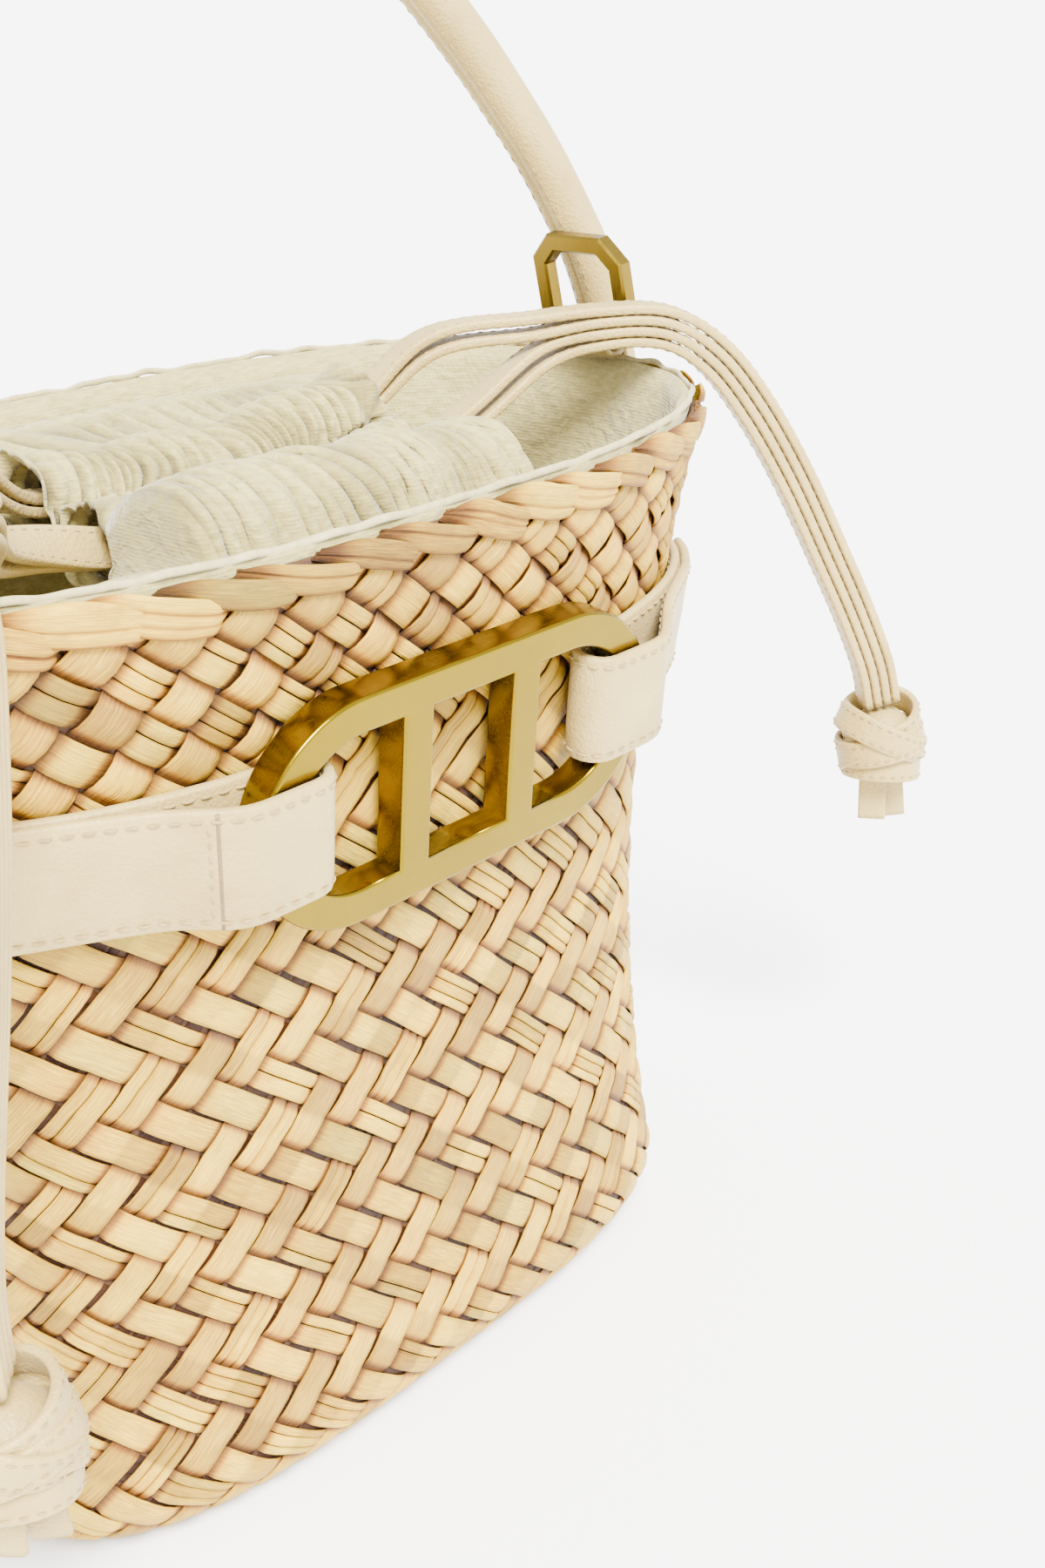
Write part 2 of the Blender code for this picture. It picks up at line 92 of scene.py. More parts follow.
# ------------------------------------------------------------------ straps, handle and rings
STRAP_WIDTH, STRAP_THICK, STRAP_PITCH = 8.0, 2.1, 2.6
HANDLE_R = 6.0
HANDLE_LEAN = math.radians(6)
HINGE_Z = 205.0
ARCH = [(126.5, 0), (126.5, 8), (125.6, 17), (122.6, 30), (117.4, 42), (110.9, 54.5), (103, 66.5), (94, 79),
        (83.5, 91.5), (71, 105), (56, 117.5), (38.5, 127.5), (19.5, 133.5), (0, 135.5)]
NECK = [(126.2, 0.9, 211.5), (126.2, 0.1, 206), (124.9, 0, 200.5), (122.0, 0, 195.0), (119.4, 0, 189.5),
        (118.0, 0, 183.0)]
TAB_Z, TAB_HALF_WIDE, TAB_HALF_HIGH = 190.0, 12.0, 13.2
RING_WIRE = 4.2
RING_HALF, RING_HIGH, RING_CUT = 14.0, 26.0, 4.5
RING_X, RING_Y, RING_Z = 113.0, -6.0, 217.4
RING_LEAN = math.radians(7)
KEEPER_R, KEEPER_WIDE, KEEPER_THICK = 4.15, 14.4, 1.5

# ------------------------------------------------------------------ cord routes, in metres
LEFT_SIDE, RIGHT_SIDE = (-0.70, 0.71, 0), (0.56, 0.83, 0)
EDGEWISE, FLATWISE = (0, 0.25, 1), (0, 1, 0)
LEFT_BUNDLE = [
    (-0.1117, -0.058, 0.080), (-0.1123, -0.061, 0.096), (-0.1113, -0.065, 0.115), (-0.109, -0.069, 0.136),
    (-0.106, -0.072, 0.157), (-0.103, -0.074, 0.177), (-0.0995, -0.0735, 0.194), (-0.0945, -0.0695, 0.209),
    (-0.0885, -0.061, 0.2187), (-0.080, -0.050, 0.222), (-0.071, -0.039, 0.2195),
]
RIGHT_BUNDLE = [
    (0.087, -0.0115, 0.220), (0.100, -0.021, 0.2225), (0.112, -0.030, 0.2215), (0.1215, -0.0365, 0.214),
    (0.130, -0.0415, 0.2005), (0.138, -0.0465, 0.1825), (0.1455, -0.051, 0.162), (0.1515, -0.0545, 0.145),
    (0.156, -0.057, 0.130), (0.1575, -0.058, 0.119),
]
FRONT_CASING = [(-0.034, -0.011, 0.200), (-0.020, -0.0125, 0.1985), (-0.004, -0.014, 0.197),
                (0.014, -0.0135, 0.1973), (0.033, -0.0105, 0.1988), (0.047, -0.008, 0.200)]
REAR_CASING = [(-0.034, 0.008, 0.206), (-0.011, 0.0065, 0.2045), (0.010, 0.006, 0.2045),
               (0.032, 0.0075, 0.2065), (0.051, 0.009, 0.2095)]
LEFT_CLOTH = [(-0.064, -0.014, 0.195), (-0.048, -0.012, 0.198)]  # where the front cloth runs past its casing

# ------------------------------------------------------------------ light
AIR_LIGHT, SUN_LIGHT = 3.1, 21.0
SUN_HEADING = (0.30, 0.62, -0.77)
SUN_SPREAD = math.radians(24)


# ------------------------------------------------------------------ helpers
def unit(v):
    v = np.asarray(v, float)
    return v / np.maximum(np.linalg.norm(v, axis=-1, keepdims=True), 1e-12)


def tangents(line):
    return unit(np.gradient(line, axis=0))


def squared(sides, tangent):
    """Those sides, turned square to the tangent."""
    return unit(sides - (sides * tangent).sum(1, keepdims=True) * tangent)


def turns_round(count):
    """That many angles, evenly round a circle."""
    return np.linspace(0, 2 * math.pi, count, endpoint=False)


def smooth_route(rows, per_step):
    """Catmull-Rom rows through the given rows, whatever their columns hold."""
    rows = np.array(rows, float)
    ends = np.vstack([2 * rows[0] - rows[1], rows, 2 * rows[-1] - rows[-2]])
    made = []
    for i in range(1, len(ends) - 2):
        p0, p1, p2, p3 = ends[i - 1 : i + 3]
        for t in np.arange(per_step) / per_step:
            made.append(
                0.5 * (2 * p1 + (p2 - p0) * t + (2 * p0 - 5 * p1 + 4 * p2 - p3) * t**2
                       + (3 * p1 - p0 - 3 * p2 + p3) * t**3)
            )
    made.append(rows[-1])
    return np.array(made)


def along(line):
    """How far each point of a line is from its start."""
    return np.concatenate([[0.0], np.cumsum(np.linalg.norm(np.diff(line, axis=0), axis=1))])


def columns_at(spots, run, table):
    """The table's columns, read at those distances along it."""
    return np.stack([np.interp(spots, run, table[:, k]) for k in range(table.shape[1])], axis=1)


def resample(line, step):
    run = along(line)
    return columns_at(np.linspace(0, run[-1], max(2, int(round(run[-1] / step)) + 1)), run, line)


def evened(centres, sides):
    """A strap's middle and its directions across, at even steps."""
    both = resample(np.concatenate([centres, sides], axis=1), 1.6)
    return both[:, :3], unit(both[:, 3:])


def ease(t):
    t = np.clip(t, 0, 1)
    return t * t * (3 - 2 * t)


def grid_faces(rows, count, closed_rows=False, closed_count=True, start=0, flip=False):
    faces = []
    for r in range(rows if closed_rows else rows - 1):
        for c in range(count if closed_count else count - 1):
            a, b = r * count + c, r * count + (c + 1) % count
            d, e = ((r + 1) % rows) * count + c, ((r + 1) % rows) * count + (c + 1) % count
            faces.append((a + start, b + start, e + start, d + start)[:: -1 if flip else 1])
    return faces


def loft(rings, cyclic=False):
    """(points, faces) of a closed body through rings of equal count."""
    rings = np.asarray(rings, float)
    rows, count = rings.shape[:2]
    faces = grid_faces(rows, count, closed_rows=cyclic)
    if not cyclic:
        faces += [tuple(range(count))[::-1], tuple((rows - 1) * count + k for k in range(count))]
    return rings.reshape(-1, 3), faces


def slab(points, thick, normals=None):
    """(points, faces) of a closed sheet that thick under a grid of points."""
    points = np.asarray(points, float)
    rows, count = points.shape[:2]
    if normals is None:
        normals = unit(np.cross(np.gradient(points, axis=0), np.gradient(points, axis=1)))
    low = points - thick * normals
    size = rows * count
    faces = grid_faces(rows, count, closed_count=False)
    faces += grid_faces(rows, count, closed_count=False, start=size, flip=True)
    edge = list(range(count)) + [r * count + count - 1 for r in range(1, rows)]
    edge += [(rows - 1) * count + c for c in range(count - 2, -1, -1)]
    edge += [r * count for r in range(rows - 2, 0, -1)]
    faces += [(a, a + size, b + size, b) for a, b in zip(edge, edge[1:] + edge[:1])]
    return np.concatenate([points.reshape(-1, 3), low.reshape(-1, 3)]), faces


def merge(bodies):
    """One (points, faces) from several."""
    points, faces, start = [], [], 0
    for p, f in bodies:
        points.append(p)
        faces += [tuple(k + start for k in face) for face in f]
        start += len(p)
    return np.concatenate(points), faces


def piece(name, body, material, stands_for, rides="bag", marks=None, weld=False, smooth=True):
    """Makes the mesh of one piece. marks are named values for each point, as an (n, 3) array."""
    points, faces = body
    mesh = bpy.data.meshes.new(name)
    mesh.from_pydata((np.asarray(points) * MM).tolist(), [], faces)
    for label, values in (marks or {}).items():
        layer = mesh.attributes.new(label, "FLOAT_COLOR", "POINT")
        values = np.concatenate([values, np.ones((len(values), 1))], axis=1)
        layer.data.foreach_set("color", values.astype(np.float32).ravel())
    work = bmesh.new()
    work.from_mesh(mesh)
    if weld:
        bmesh.ops.remove_doubles(work, verts=work.verts, dist=2e-6)
        bmesh.ops.dissolve_degenerate(work, edges=work.edges, dist=1e-6)
    bmesh.ops.recalc_face_normals(work, faces=work.faces)
    work.to_mesh(mesh)
    work.free()
    mesh.polygons.foreach_set("use_smooth", [smooth] * len(mesh.polygons))
    mesh.materials.append(material)
    obj = bpy.data.objects.new(name, mesh)
    bpy.context.scene.collection.objects.link(obj)
    if rides:
        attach(obj, rides)
    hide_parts(*stands_for)
    return obj


def hide(name, body, stands_for, rides="bag"):
    return piece(name, body, HIDE, stands_for, rides)


def sewing(name, rows, stands_for, rides="bag"):
    return piece(name, merge(rows), THREAD, stands_for, rides)


def strap_section(width, thick, corner=0.55):
    """The outline across a flat strap, with rounded edges, as (across, up) pairs."""
    w, t = width / 2, thick / 2
    quarter = [(w - corner + corner * math.cos(a), t - corner + corner * math.sin(a))
               for a in (0.0, math.pi / 4, math.pi / 2)]
    mid = [(w * 0.45, t * 1.06), (0.0, t * 1.1)]
    half = quarter + mid + [(-x, y) for x, y in mid[:1]] + [(-x, y) for x, y in quarter[::-1]]
    return half + [(x, -y) for x, y in half[::-1]]


def strap_rings(centres, sides, width, thick, cyclic=False, corner=0.55):
    """Rings along a flat strap. sides is one direction across, or one for each point."""
    centres = np.asarray(centres, float)
    sides = np.broadcast_to(np.asarray(sides, float), centres.shape)
    tangent = unit(np.roll(centres, -1, 0) - np.roll(centres, 1, 0)) if cyclic else tangents(centres)
    sides = squared(sides, tangent)
    normal = np.cross(tangent, sides)
    section = strap_section(width, thick, corner)
    return np.stack([centres + x * sides + y * normal for x, y in section], axis=1)


# One stitch, from end to end: the place along it, how stout it is there, and how high it lies.
STITCH_ROWS = ((-1, 0.45, -0.25), (-0.6, 0.95, 0.0), (0, 1.0, 0.08), (0.6, 0.95, 0.0), (1, 0.45, -0.25))
STITCH_SIDES = 6


def stitches(line, normals, pitch=3.3, length=2.3, size=0.5, lift=0.12):
    """Thread stitches along a line: one small bean for each."""
    run = along(line)
    count = max(1, int(run[-1] / pitch))
    spots = (np.arange(count) + 0.5) * run[-1] / count
    place = columns_at(spots, run, line)
    tangent = unit(columns_at(spots, run, np.gradient(line, axis=0)))
    normal = unit(columns_at(spots, run, normals))
    side = unit(np.cross(normal, tangent))
    rings = []
    for t, grow, rise in STITCH_ROWS:
        middle = place + t * length / 2 * tangent + (lift + rise) * normal
        for turn in turns_round(STITCH_SIDES):
            out = 0.62 * math.cos(turn) * side + 0.45 * math.sin(turn) * normal
            rings.append(middle + size * grow * out)
    rings = np.stack(rings, axis=1)
    faces = []
    last = (len(STITCH_ROWS) - 1) * STITCH_SIDES
    for start in range(0, count * rings.shape[1], rings.shape[1]):
        ends = range(start, start + STITCH_SIDES)
        faces += grid_faces(len(STITCH_ROWS), STITCH_SIDES, start=start)
        faces += [tuple(ends)[::-1], tuple(k + last for k in ends)]
    return rings.reshape(-1, 3), faces


# ------------------------------------------------------------------ camera
def make_camera():
    data = bpy.data.cameras.new("camera")
    data.lens, data.sensor_width = 45.35, 36.0
    data.shift_x, data.shift_y = -0.271, 0.0218
    camera = bpy.data.objects.new("camera", data)
    camera.location = (-0.2498, -0.3409, 0.3037)
    camera.rotation_euler = (math.radians(66.16), 0.0, math.radians(-57.34))
    bpy.context.scene.collection.objects.link(camera)
    bpy.context.scene.camera = camera


make_camera()


# ------------------------------------------------------------------ materials
class Shader:
    """A node material with short ways to add and join nodes."""

    def __init__(self, name, roughness, metallic=0.0, sheen=0.0, specular=0.5):
        self.material = bpy.data.materials.new(name)
        self.material.use_nodes = True
        self.nodes = self.material.node_tree.nodes
        self.surface = self.nodes["Principled BSDF"].inputs
        self.surface["Roughness"].default_value = roughness
        self.surface["Metallic"].default_value = metallic
        self.surface["Sheen Weight"].default_value = sheen
        self.surface["Specular IOR Level"].default_value = specular

    def put(self, value, socket):
        """Gives a socket a number, a colour, a vector or another node's result."""
        if isinstance(value, bpy.types.NodeSocket):
            self.material.node_tree.links.new(value, socket)
        elif isinstance(value, tuple) and socket.type == "RGBA":
            socket.default_value = (*value, 1.0)
        else:
            socket.default_value = value

    def add(self, kind, **values):
        node = self.nodes.new("ShaderNode" + kind)
        for label, value in values.items():
            self.put(value, node.inputs[label])
        return node

    def mark(self, label):
        node = self.add("Attribute")
        node.attribute_name = label
        return node.outputs["Vector"]

    def place(self):
        return self.add("TexCoord").outputs["Object"]

    def scaled(self, vector, scale):
        return self.add("Mapping", Vector=vector, Scale=scale).outputs["Vector"]

    def noise(self, vector, scale, detail=4.0, rough=0.55, distort=0.0):
        node = self.add("TexNoise", Vector=vector, Scale=scale, Detail=detail, Roughness=rough,
                        Distortion=distort)
        return node.outputs["Fac"]

    def cells(self, vector, scale):
        return self.add("TexVoronoi", Vector=vector, Scale=scale).outputs["Distance"]

    def wave(self, vector, scale, axis, distort):
        node = self.add("TexWave", Vector=vector, Scale=scale, Distortion=distort)
        node.bands_direction = axis
        return node.outputs["Fac"]

    def part(self, vector, axis):
        return self.add("SeparateXYZ", Vector=vector).outputs[axis]

    def math(self, kind, a, b):
        node = self.add("Math")
        node.operation = kind
        self.put(a, node.inputs[0])
        self.put(b, node.inputs[1])
        return node.outputs["Value"]

    def ramp(self, factor, stops):
        node = self.add("ValToRGB", Fac=factor)
        ramp = node.color_ramp
        while len(ramp.elements) < len(stops):
            ramp.elements.new(0.5)
        for element, (spot, colour) in zip(ramp.elements, stops):
            element.position = spot
            element.color = (*colour, 1.0)
        return node.outputs["Color"]

    def blend(self, factor, a, b, kind="MIX"):
        node = self.add("Mix")
        node.data_type = "RGBA"
        node.blend_type = kind
        for socket, value in ((node.inputs[0], factor), (node.inputs[6], a), (node.inputs[7], b)):
            self.put(value, socket)
        return node.outputs[2]

    def colour(self, source):
        self.put(source, self.surface["Base Color"])

    def rough(self, factor, low, high):
        """Roughness between two (place on the factor, value) stops."""
        stops = [(spot, (value,) * 3) for spot, value in (low, high)]
        self.put(self.ramp(factor, stops), self.surface["Roughness"])

    def bump(self, source, strength, reach):
        node = self.add("Bump", Strength=strength, Distance=reach, Height=source)
        self.put(node.outputs["Normal"], self.surface["Normal"])


# Palm colours: from strip to strip, along the fibres, from crossing to crossing, and painted shade down into
# the weave.
PALM_STRIPS = [(0.0, (0.24, 0.114, 0.004)), (0.15, (0.39, 0.212, 0.008)), (0.45, (0.56, 0.342, 0.016)),
               (0.72, (0.70, 0.468, 0.034)), (0.9, (0.53, 0.385, 0.038)), (1.0, (0.34, 0.262, 0.030))]
PALM_FIBRES = [(0.34, (0.17, 0.085, 0.004)), (0.6, (0.70, 0.475, 0.042))]
PALM_CELLS = [(0.0, (0.52, 0.47, 0.38)), (0.35, (0.84, 0.81, 0.74)), (0.7, (1.04, 1.02, 0.97)),
              (1.0, (1.10, 1.02, 0.80))]
PALM_PAINTED_SHADE = [(0.0, (1.0, 1.0, 1.0)), (0.28, (0.85, 0.74, 0.43)), (0.58, (0.42, 0.265, 0.055)),
               (1.0, (0.065, 0.027, 0.005))]
PALM_STAIN = (0.36, 0.195, 0.009)


def palm_leaf():
    """Dried palm strips: each has its own tone, long fibres and painted brown shade where it dives under the
    next.
    """
    s = Shader("palm_leaf", 0.55, specular=0.3)
    tone, lay = s.mark("tone"), s.mark("lay")
    fibre = s.noise(s.scaled(lay, (0.5, 7.0, 30.0)), 3.0, 6.0, 0.62)
    base = s.ramp(s.part(tone, "X"), PALM_STRIPS)
    base = s.blend(s.math("MULTIPLY", fibre, 0.92), base, s.ramp(fibre, PALM_FIBRES))
    patch = s.noise(s.scaled(lay, (1.0, 1.2, 40.0)), 1.3, 3.0)
    base = s.blend(s.ramp(patch, [(0.5, (0, 0, 0)), (0.75, (0.6, 0.6, 0.6))]), base, PALM_STAIN)
    base = s.blend(1.0, base, s.ramp(s.part(tone, "Y"), PALM_CELLS), "MULTIPLY")
    # The tone's third part is painted shade: darker where a strip dives under, along its edges and in the
    # petals' folds.
    s.colour(s.blend(1.0, base, s.ramp(s.part(tone, "Z"), PALM_PAINTED_SHADE), "MULTIPLY"))
    s.rough(fibre, (0.2, 0.45), (0.8, 0.68))
    ribs = s.noise(s.scaled(lay, (0.15, 14.0, 30.0)), 3.0, 3.0)
    s.bump(s.math("ADD", fibre, ribs), 0.8, 0.0006)
    return s.material


def painted_shade_straw():
    """A dark sheet behind the weave: painted shade that shows in its gaps."""
    s = Shader("painted_shade_straw", 0.8)
    s.colour(s.ramp(s.noise(s.place(), 260.0), [(0.3, (0.026, 0.009, 0.002)), (0.7, (0.07, 0.026, 0.005))]))
    return s.material


LINEN_SLUBS = [(0.25, (0.25, 0.205, 0.060)), (0.5, (0.35, 0.290, 0.098)), (0.8, (0.44, 0.375, 0.15))]
LINEN_FOLD_SHADE = [(0.0, (1.0, 1.0, 1.0)), (0.40, (0.72, 0.70, 0.60)), (1.0, (0.17, 0.15, 0.09))]


def linen():
    """Grey-green cream cloth with a fine plain weave, with painted shade down in its folds."""
    s = Shader("linen_cloth", 0.9, sheen=0.25)
    place = s.place()
    slub = s.noise(s.scaled(place, (1.0, 1.0, 4.0)), 340.0, 4.0, 0.6)
    # Painted shade, darker down in the folds of the gathers.
    fold = s.ramp(s.part(s.mark("tone"), "X"), LINEN_FOLD_SHADE)
    s.colour(s.blend(1.0, s.ramp(slub, LINEN_SLUBS), fold, "MULTIPLY"))
    threads = s.math("ADD", s.wave(place, 420.0, "X", 1.5), s.wave(place, 420.0, "Z", 1.5))
    weave_height = s.math("ADD", s.math("MULTIPLY", threads, 0.3), slub)
    crease = s.math("MULTIPLY", s.noise(place, 130.0, 3.0, 0.5, 1.6), 9.0)
    s.bump(s.math("ADD", weave_height, crease), 0.5, 0.0003)
    return s.material


def binding():
    """The whiter bound edge inside the rim."""
    s = Shader("edge_binding", 0.85, sheen=0.2)
    slub = s.noise(s.place(), 520.0, 4.0, 0.6)
    s.colour(s.ramp(slub, [(0.3, (0.32, 0.265, 0.11)), (0.7, (0.45, 0.385, 0.19))]))
    s.bump(slub, 0.35, 0.0003)
    return s.material


def leather(name, light, dark):
    """Cream pebbled leather with a soft mottle."""
    s = Shader(name, 0.48, sheen=0.08, specular=0.4)
    place = s.place()
    pebble = s.cells(place, 1250.0)
    fine = s.noise(place, 2000.0, 3.0)
    colour = s.ramp(s.noise(place, 55.0, 4.0, 0.6), [(0.3, dark), (0.7, light)])
    s.colour(s.blend(s.math("MULTIPLY", pebble, 0.22), colour, tuple(0.86 * c for c in dark)))
    s.rough(fine, (0.3, 0.40), (0.7, 0.58))
    s.bump(s.math("ADD", pebble, s.math("MULTIPLY", fine, 0.5)), 1.0, 0.00015)
    return s.material


def thread():
    s = Shader("thread", 0.75, sheen=0.2)
    s.colour(s.ramp(s.noise(s.place(), 900.0), [(0.3, (0.22, 0.14, 0.035)), (0.7, (0.38, 0.27, 0.09))]))
    return s.material


def metal(name, light, dark, roughness, brush):
    """Brushed metal: fine lines along X and soft changes of tone."""
    s = Shader(name, roughness, metallic=1.0)
    place = s.place()
    lines = s.noise(s.scaled(place, brush), 900.0, 3.0, 0.6)
    tarnish = s.noise(place, 60.0, 4.0, 0.6)
    s.colour(s.blend(s.math("MULTIPLY", tarnish, 0.5), light, dark))
    s.rough(lines, (0.25, roughness - 0.06), (0.75, roughness + 0.1))
    s.bump(lines, 0.06, 0.00006)
    return s.material


PALM, SHADE, LINEN, BINDING = palm_leaf(), painted_shade_straw(), linen(), binding()
HIDE = leather("cream_leather", (0.44, 0.325, 0.105), (0.345, 0.24, 0.070))
THREAD = thread()
EDGE = leather("cut_leather_edge", (0.20, 0.13, 0.045), (0.14, 0.09, 0.03))
GOLD = metal("brushed_gold", (0.20, 0.138, 0.0035), (0.075, 0.044, 0.0012), 0.22, (0.03, 1.0, 1.0))
BRONZE = metal("antique_brass", (0.19, 0.125, 0.012), (0.08, 0.048, 0.005), 0.30, (0.2, 1.0, 0.2))


# ------------------------------------------------------------------ drawstrings
ROUTE_STEPS = 12


def strap_rows(number):
    """One strap from the left knot through its casing to the right knot, and the rows at the casing's mouths.

    Each row is a place, how far the strap lies off it in the stack, and its direction across.
    """
    front = number < 2
    route = np.array(FRONT_CASING if front else REAR_CASING) / MM
    left, right = np.array(LEFT_BUNDLE) / MM, np.array(RIGHT_BUNDLE) / MM
    start_side = np.array(EDGEWISE if front else FLATWISE)
    stack = (number - 1.5) * STRAP_PITCH
    loose = 1.4 * stack
    within = (number % 2 - 0.5) * 2.5
    rows = [(*p, stack, *LEFT_SIDE) for p in left[:-1]]
    rows.append((*left[-1], loose, *LEFT_SIDE))
    approach = route[0] + ((-22, -9, 9) if front else (-22, -17, 9.5))
    rows.append((*approach, loose, *unit(LEFT_SIDE + start_side)))
    left_mouth = len(rows)
    for k, p in enumerate(route):
        turned = k / (len(route) - 1)
        rows.append((*p, within, *unit(start_side * (1 - turned) + np.array(FLATWISE) * turned)))
    right_mouth = len(rows) - 1
    leave = route[-1] + ((20, 1.0, 9) if front else (17, -8.0, 8.5))
    rows.append((*leave, loose, *unit(np.add(RIGHT_SIDE, FLATWISE))))
    rows.append((*right[0], loose, *RIGHT_SIDE))
    rows += [(*p, stack, *RIGHT_SIDE) for p in right[1:]]
    return rows, left_mouth, right_mouth


def strap_halves(number):
    """(centres, sides) of the strap's two free ends, each from its casing's mouth to its knot."""
    rows, left_mouth, right_mouth = strap_rows(number)
    fine = smooth_route(rows, ROUTE_STEPS)
    centres, offsets = fine[:, :3], fine[:, 3:4]
    tangent = tangents(centres)
    sides = squared(fine[:, 4:], tangent)
    centres = centres + offsets * np.cross(tangent, sides)
    left = slice(left_mouth * ROUTE_STEPS + ROUTE_STEPS // 2, None, -1)
    right = slice(right_mouth * ROUTE_STEPS - ROUTE_STEPS // 2, None)
    return {"left": (centres[left], sides[left]), "right": (centres[right], sides[right])}


def strap_half(number, end):
    centres, sides = evened(*strap_halves(number)[end])
    tangent = tangents(centres)
    sides = squared(sides, tangent)
    normal = np.cross(tangent, sides)
    name, stands_for = f"strap_{number + 1}_{end}", [f"drawstring_{number + 1}"]
    strap = hide(name, loft(strap_rings(centres, sides, STRAP_WIDTH, STRAP_THICK)), stands_for)
    rows = []
    for across, face in ((-1, -1), (-1, 1), (1, -1), (1, 1)):
        line = centres + across * 2.8 * sides + face * STRAP_THICK * 0.5 * normal
        rows.append(stitches(line, face * normal, pitch=2.9, length=2.0, size=0.32, lift=0.02))
    seams = sewing(f"{name}_seams", rows, stands_for)


# ------------------------------------------------------------------ knots
# The turns of strap round a knot of size 1: radius, height off its middle, tilt, and where it tilts to.
KNOT_TURNS = ((8.4, 5.8, 0.30, 0.4), (9.5, 0.4, -0.20, 1.9), (8.3, -5.2, 0.24, 3.4), (9.9, 2.8, 0.50, 2.6),
              (9.3, -2.2, -0.52, 0.9))
KNOT_TAILS = ((-2.6, 0.8, -0.10), (2.4, -0.9, 0.14))  # each cut tail's place under the knot, and its lean
WRAP_WIDE, WRAP_THICK = 7.4, 1.8


def ball(centre, radius, high):
    angles, turns = np.meshgrid(np.linspace(0.12, math.pi - 0.12, 14), turns_round(28), indexing="ij")
    across = radius * np.sin(angles)
    out = np.stack([across * np.cos(turns), across * np.sin(turns), high * np.cos(angles)], axis=-1)
    return loft(centre + out)


def wrap(centre, radius, tilt, heading):
    """A strap wound once round a centre, tilted towards a heading, and its two seams."""
    turns = turns_round(64)[:, None]
    lean = np.array([math.cos(heading), math.sin(heading), 0.0])
    level = np.cross(UP, lean)
    out = math.cos(tilt) * lean + math.sin(tilt) * UP
    axis = np.cross(out, level)
    normal = np.cos(turns) * out + np.sin(turns) * level
    rings = strap_rings(centre + radius * normal, axis, WRAP_WIDE, WRAP_THICK, cyclic=True)
    normal = np.concatenate([normal, normal[:1]])
    middle = centre + (radius + WRAP_THICK * 0.53) * normal
    seams = [stitches(middle + k * (WRAP_WIDE / 2 - 1.3) * axis, normal, pitch=2.8, length=1.8, size=0.4)
             for k in (-1, 1)]
    return loft(rings, cyclic=True), merge(seams)


def knot(end, top, size):
    """Four straps wound into a ball, with two cut tails below."""
    centre = np.array(top) - (0, 0, 10.2 * size)
    parts, rows = [ball(centre, 8.3 * size, 8.6 * size)], []
    for radius, high, tilt, heading in KNOT_TURNS:
        band, seams = wrap(centre + high * size * UP, radius * size, tilt, heading)
        parts.append(band)
        rows.append(seams)
    drop = np.linspace(0, 1, 10)
    for k, (x, y, lean) in enumerate(KNOT_TAILS):
        fall = np.stack([lean * 12 * drop, 0.6 * k * drop, -(13.0 + 1.4 * k) * drop], axis=1)
        tail = centre + (x, y, -7.0 * size) + fall
        parts.append(loft(strap_rings(tail, (0.54 + 0.2 * k, -0.84, 0.0), 7.4, 2.0)))
    stands_for = [f"knot_{end}"]
    wraps = hide(f"knot_{end}_wraps", merge(parts), stands_for)
    return [wraps, sewing(f"knot_{end}_seams", rows, stands_for)]


KNOTS = {"right": knot("right", (157.8, -58.2, 119.2), 1.17),
         "left": knot("left", (-111.0, -57.8, 78.6), 1.27)}
for number in range(4):
    for end in ("left", "right"):
        strap_half(number, end)


# ------------------------------------------------------------------ the wall as a surface
def half_axes(z):
    g = np.asarray(z, float) / HEIGHT
    draw_in = WAIST * g * (1 - g)
    a = BASE_A + (RIM_A - BASE_A) * g - draw_in
    b = BASE_B + (RIM_B - BASE_B) * g - draw_in
    return a, b, BASE_POWER + (RIM_POWER - BASE_POWER) * g


def outline(z, turn, out=0.0):
    """The basket's outline at height z, out millimetres off it. turn is 0 at the front, 90 deg at +X."""
    a, b, power = half_axes(z)
    s, c = np.sin(turn), np.cos(turn)
    x = (a + out) * np.sign(s) * np.abs(s) ** (2 / power)
    y = -(b + out) * np.sign(c) * np.abs(c) ** (2 / power)
    return np.stack([x, y, z + 0 * x], axis=-1)


def make_wall():
    """Places and outward directions on the wall, and its girths.

    Rows go up its profile, which runs in under the base, and columns evenly round it from the rear.
    """
    levels = np.concatenate([np.linspace(-32, CORNER, 26), np.linspace(CORNER + 2, HEIGHT, 70)])
    turns = np.linspace(-math.pi, math.pi, 1441)
    columns = 720
    places, girths = [], []
    for m in levels:
        angle = np.clip((CORNER - m) / CORNER, 0, math.pi / 2)
        past = max(0.0, CORNER * (1 - math.pi / 2) - m)
        z = m if m >= CORNER else CORNER * (1 - math.sin(angle))
        inset = 0.0 if m >= CORNER else CORNER * (1 - math.cos(angle)) + past
        line = outline(z, turns, -inset)
        line[:, 2] -= RIM_DIP * np.maximum(0, np.cos(turns)) ** 2 * (max(0.0, z - 150) / (HEIGHT - 150)) ** 2
        run = along(line)
        girths.append(run[-1])
        places.append(columns_at(np.arange(columns + 1) / columns * run[-1], run, line))
    places = np.array(places)
    wide = np.concatenate([places[:, -2:-1], places, places[:, 1:2]], axis=1)
    normals = unit(np.cross((wide[:, 2:] - wide[:, :-2]), np.gradient(places, axis=0)))
    return levels, places, normals, np.array(girths)


LEVELS, PLACES, NORMALS, GIRTHS = make_wall()
STRIPS = int(round(np.interp(90, LEVELS, GIRTHS) / STRIP_STEP))
RISE = STRIPS / GIRTHS / STRIP_SLOPE
CLIMB = np.concatenate([[0.0], np.cumsum((RISE[1:] + RISE[:-1]) / 2 * np.diff(LEVELS))])
TOP_CLIMB = float(np.interp(HEIGHT - 5, LEVELS, CLIMB))
LOW_CLIMB = float(np.interp(-16, LEVELS, CLIMB))
PLAIN_CLIMB = float(np.interp(PLAIN_FROM, LEVELS, CLIMB))


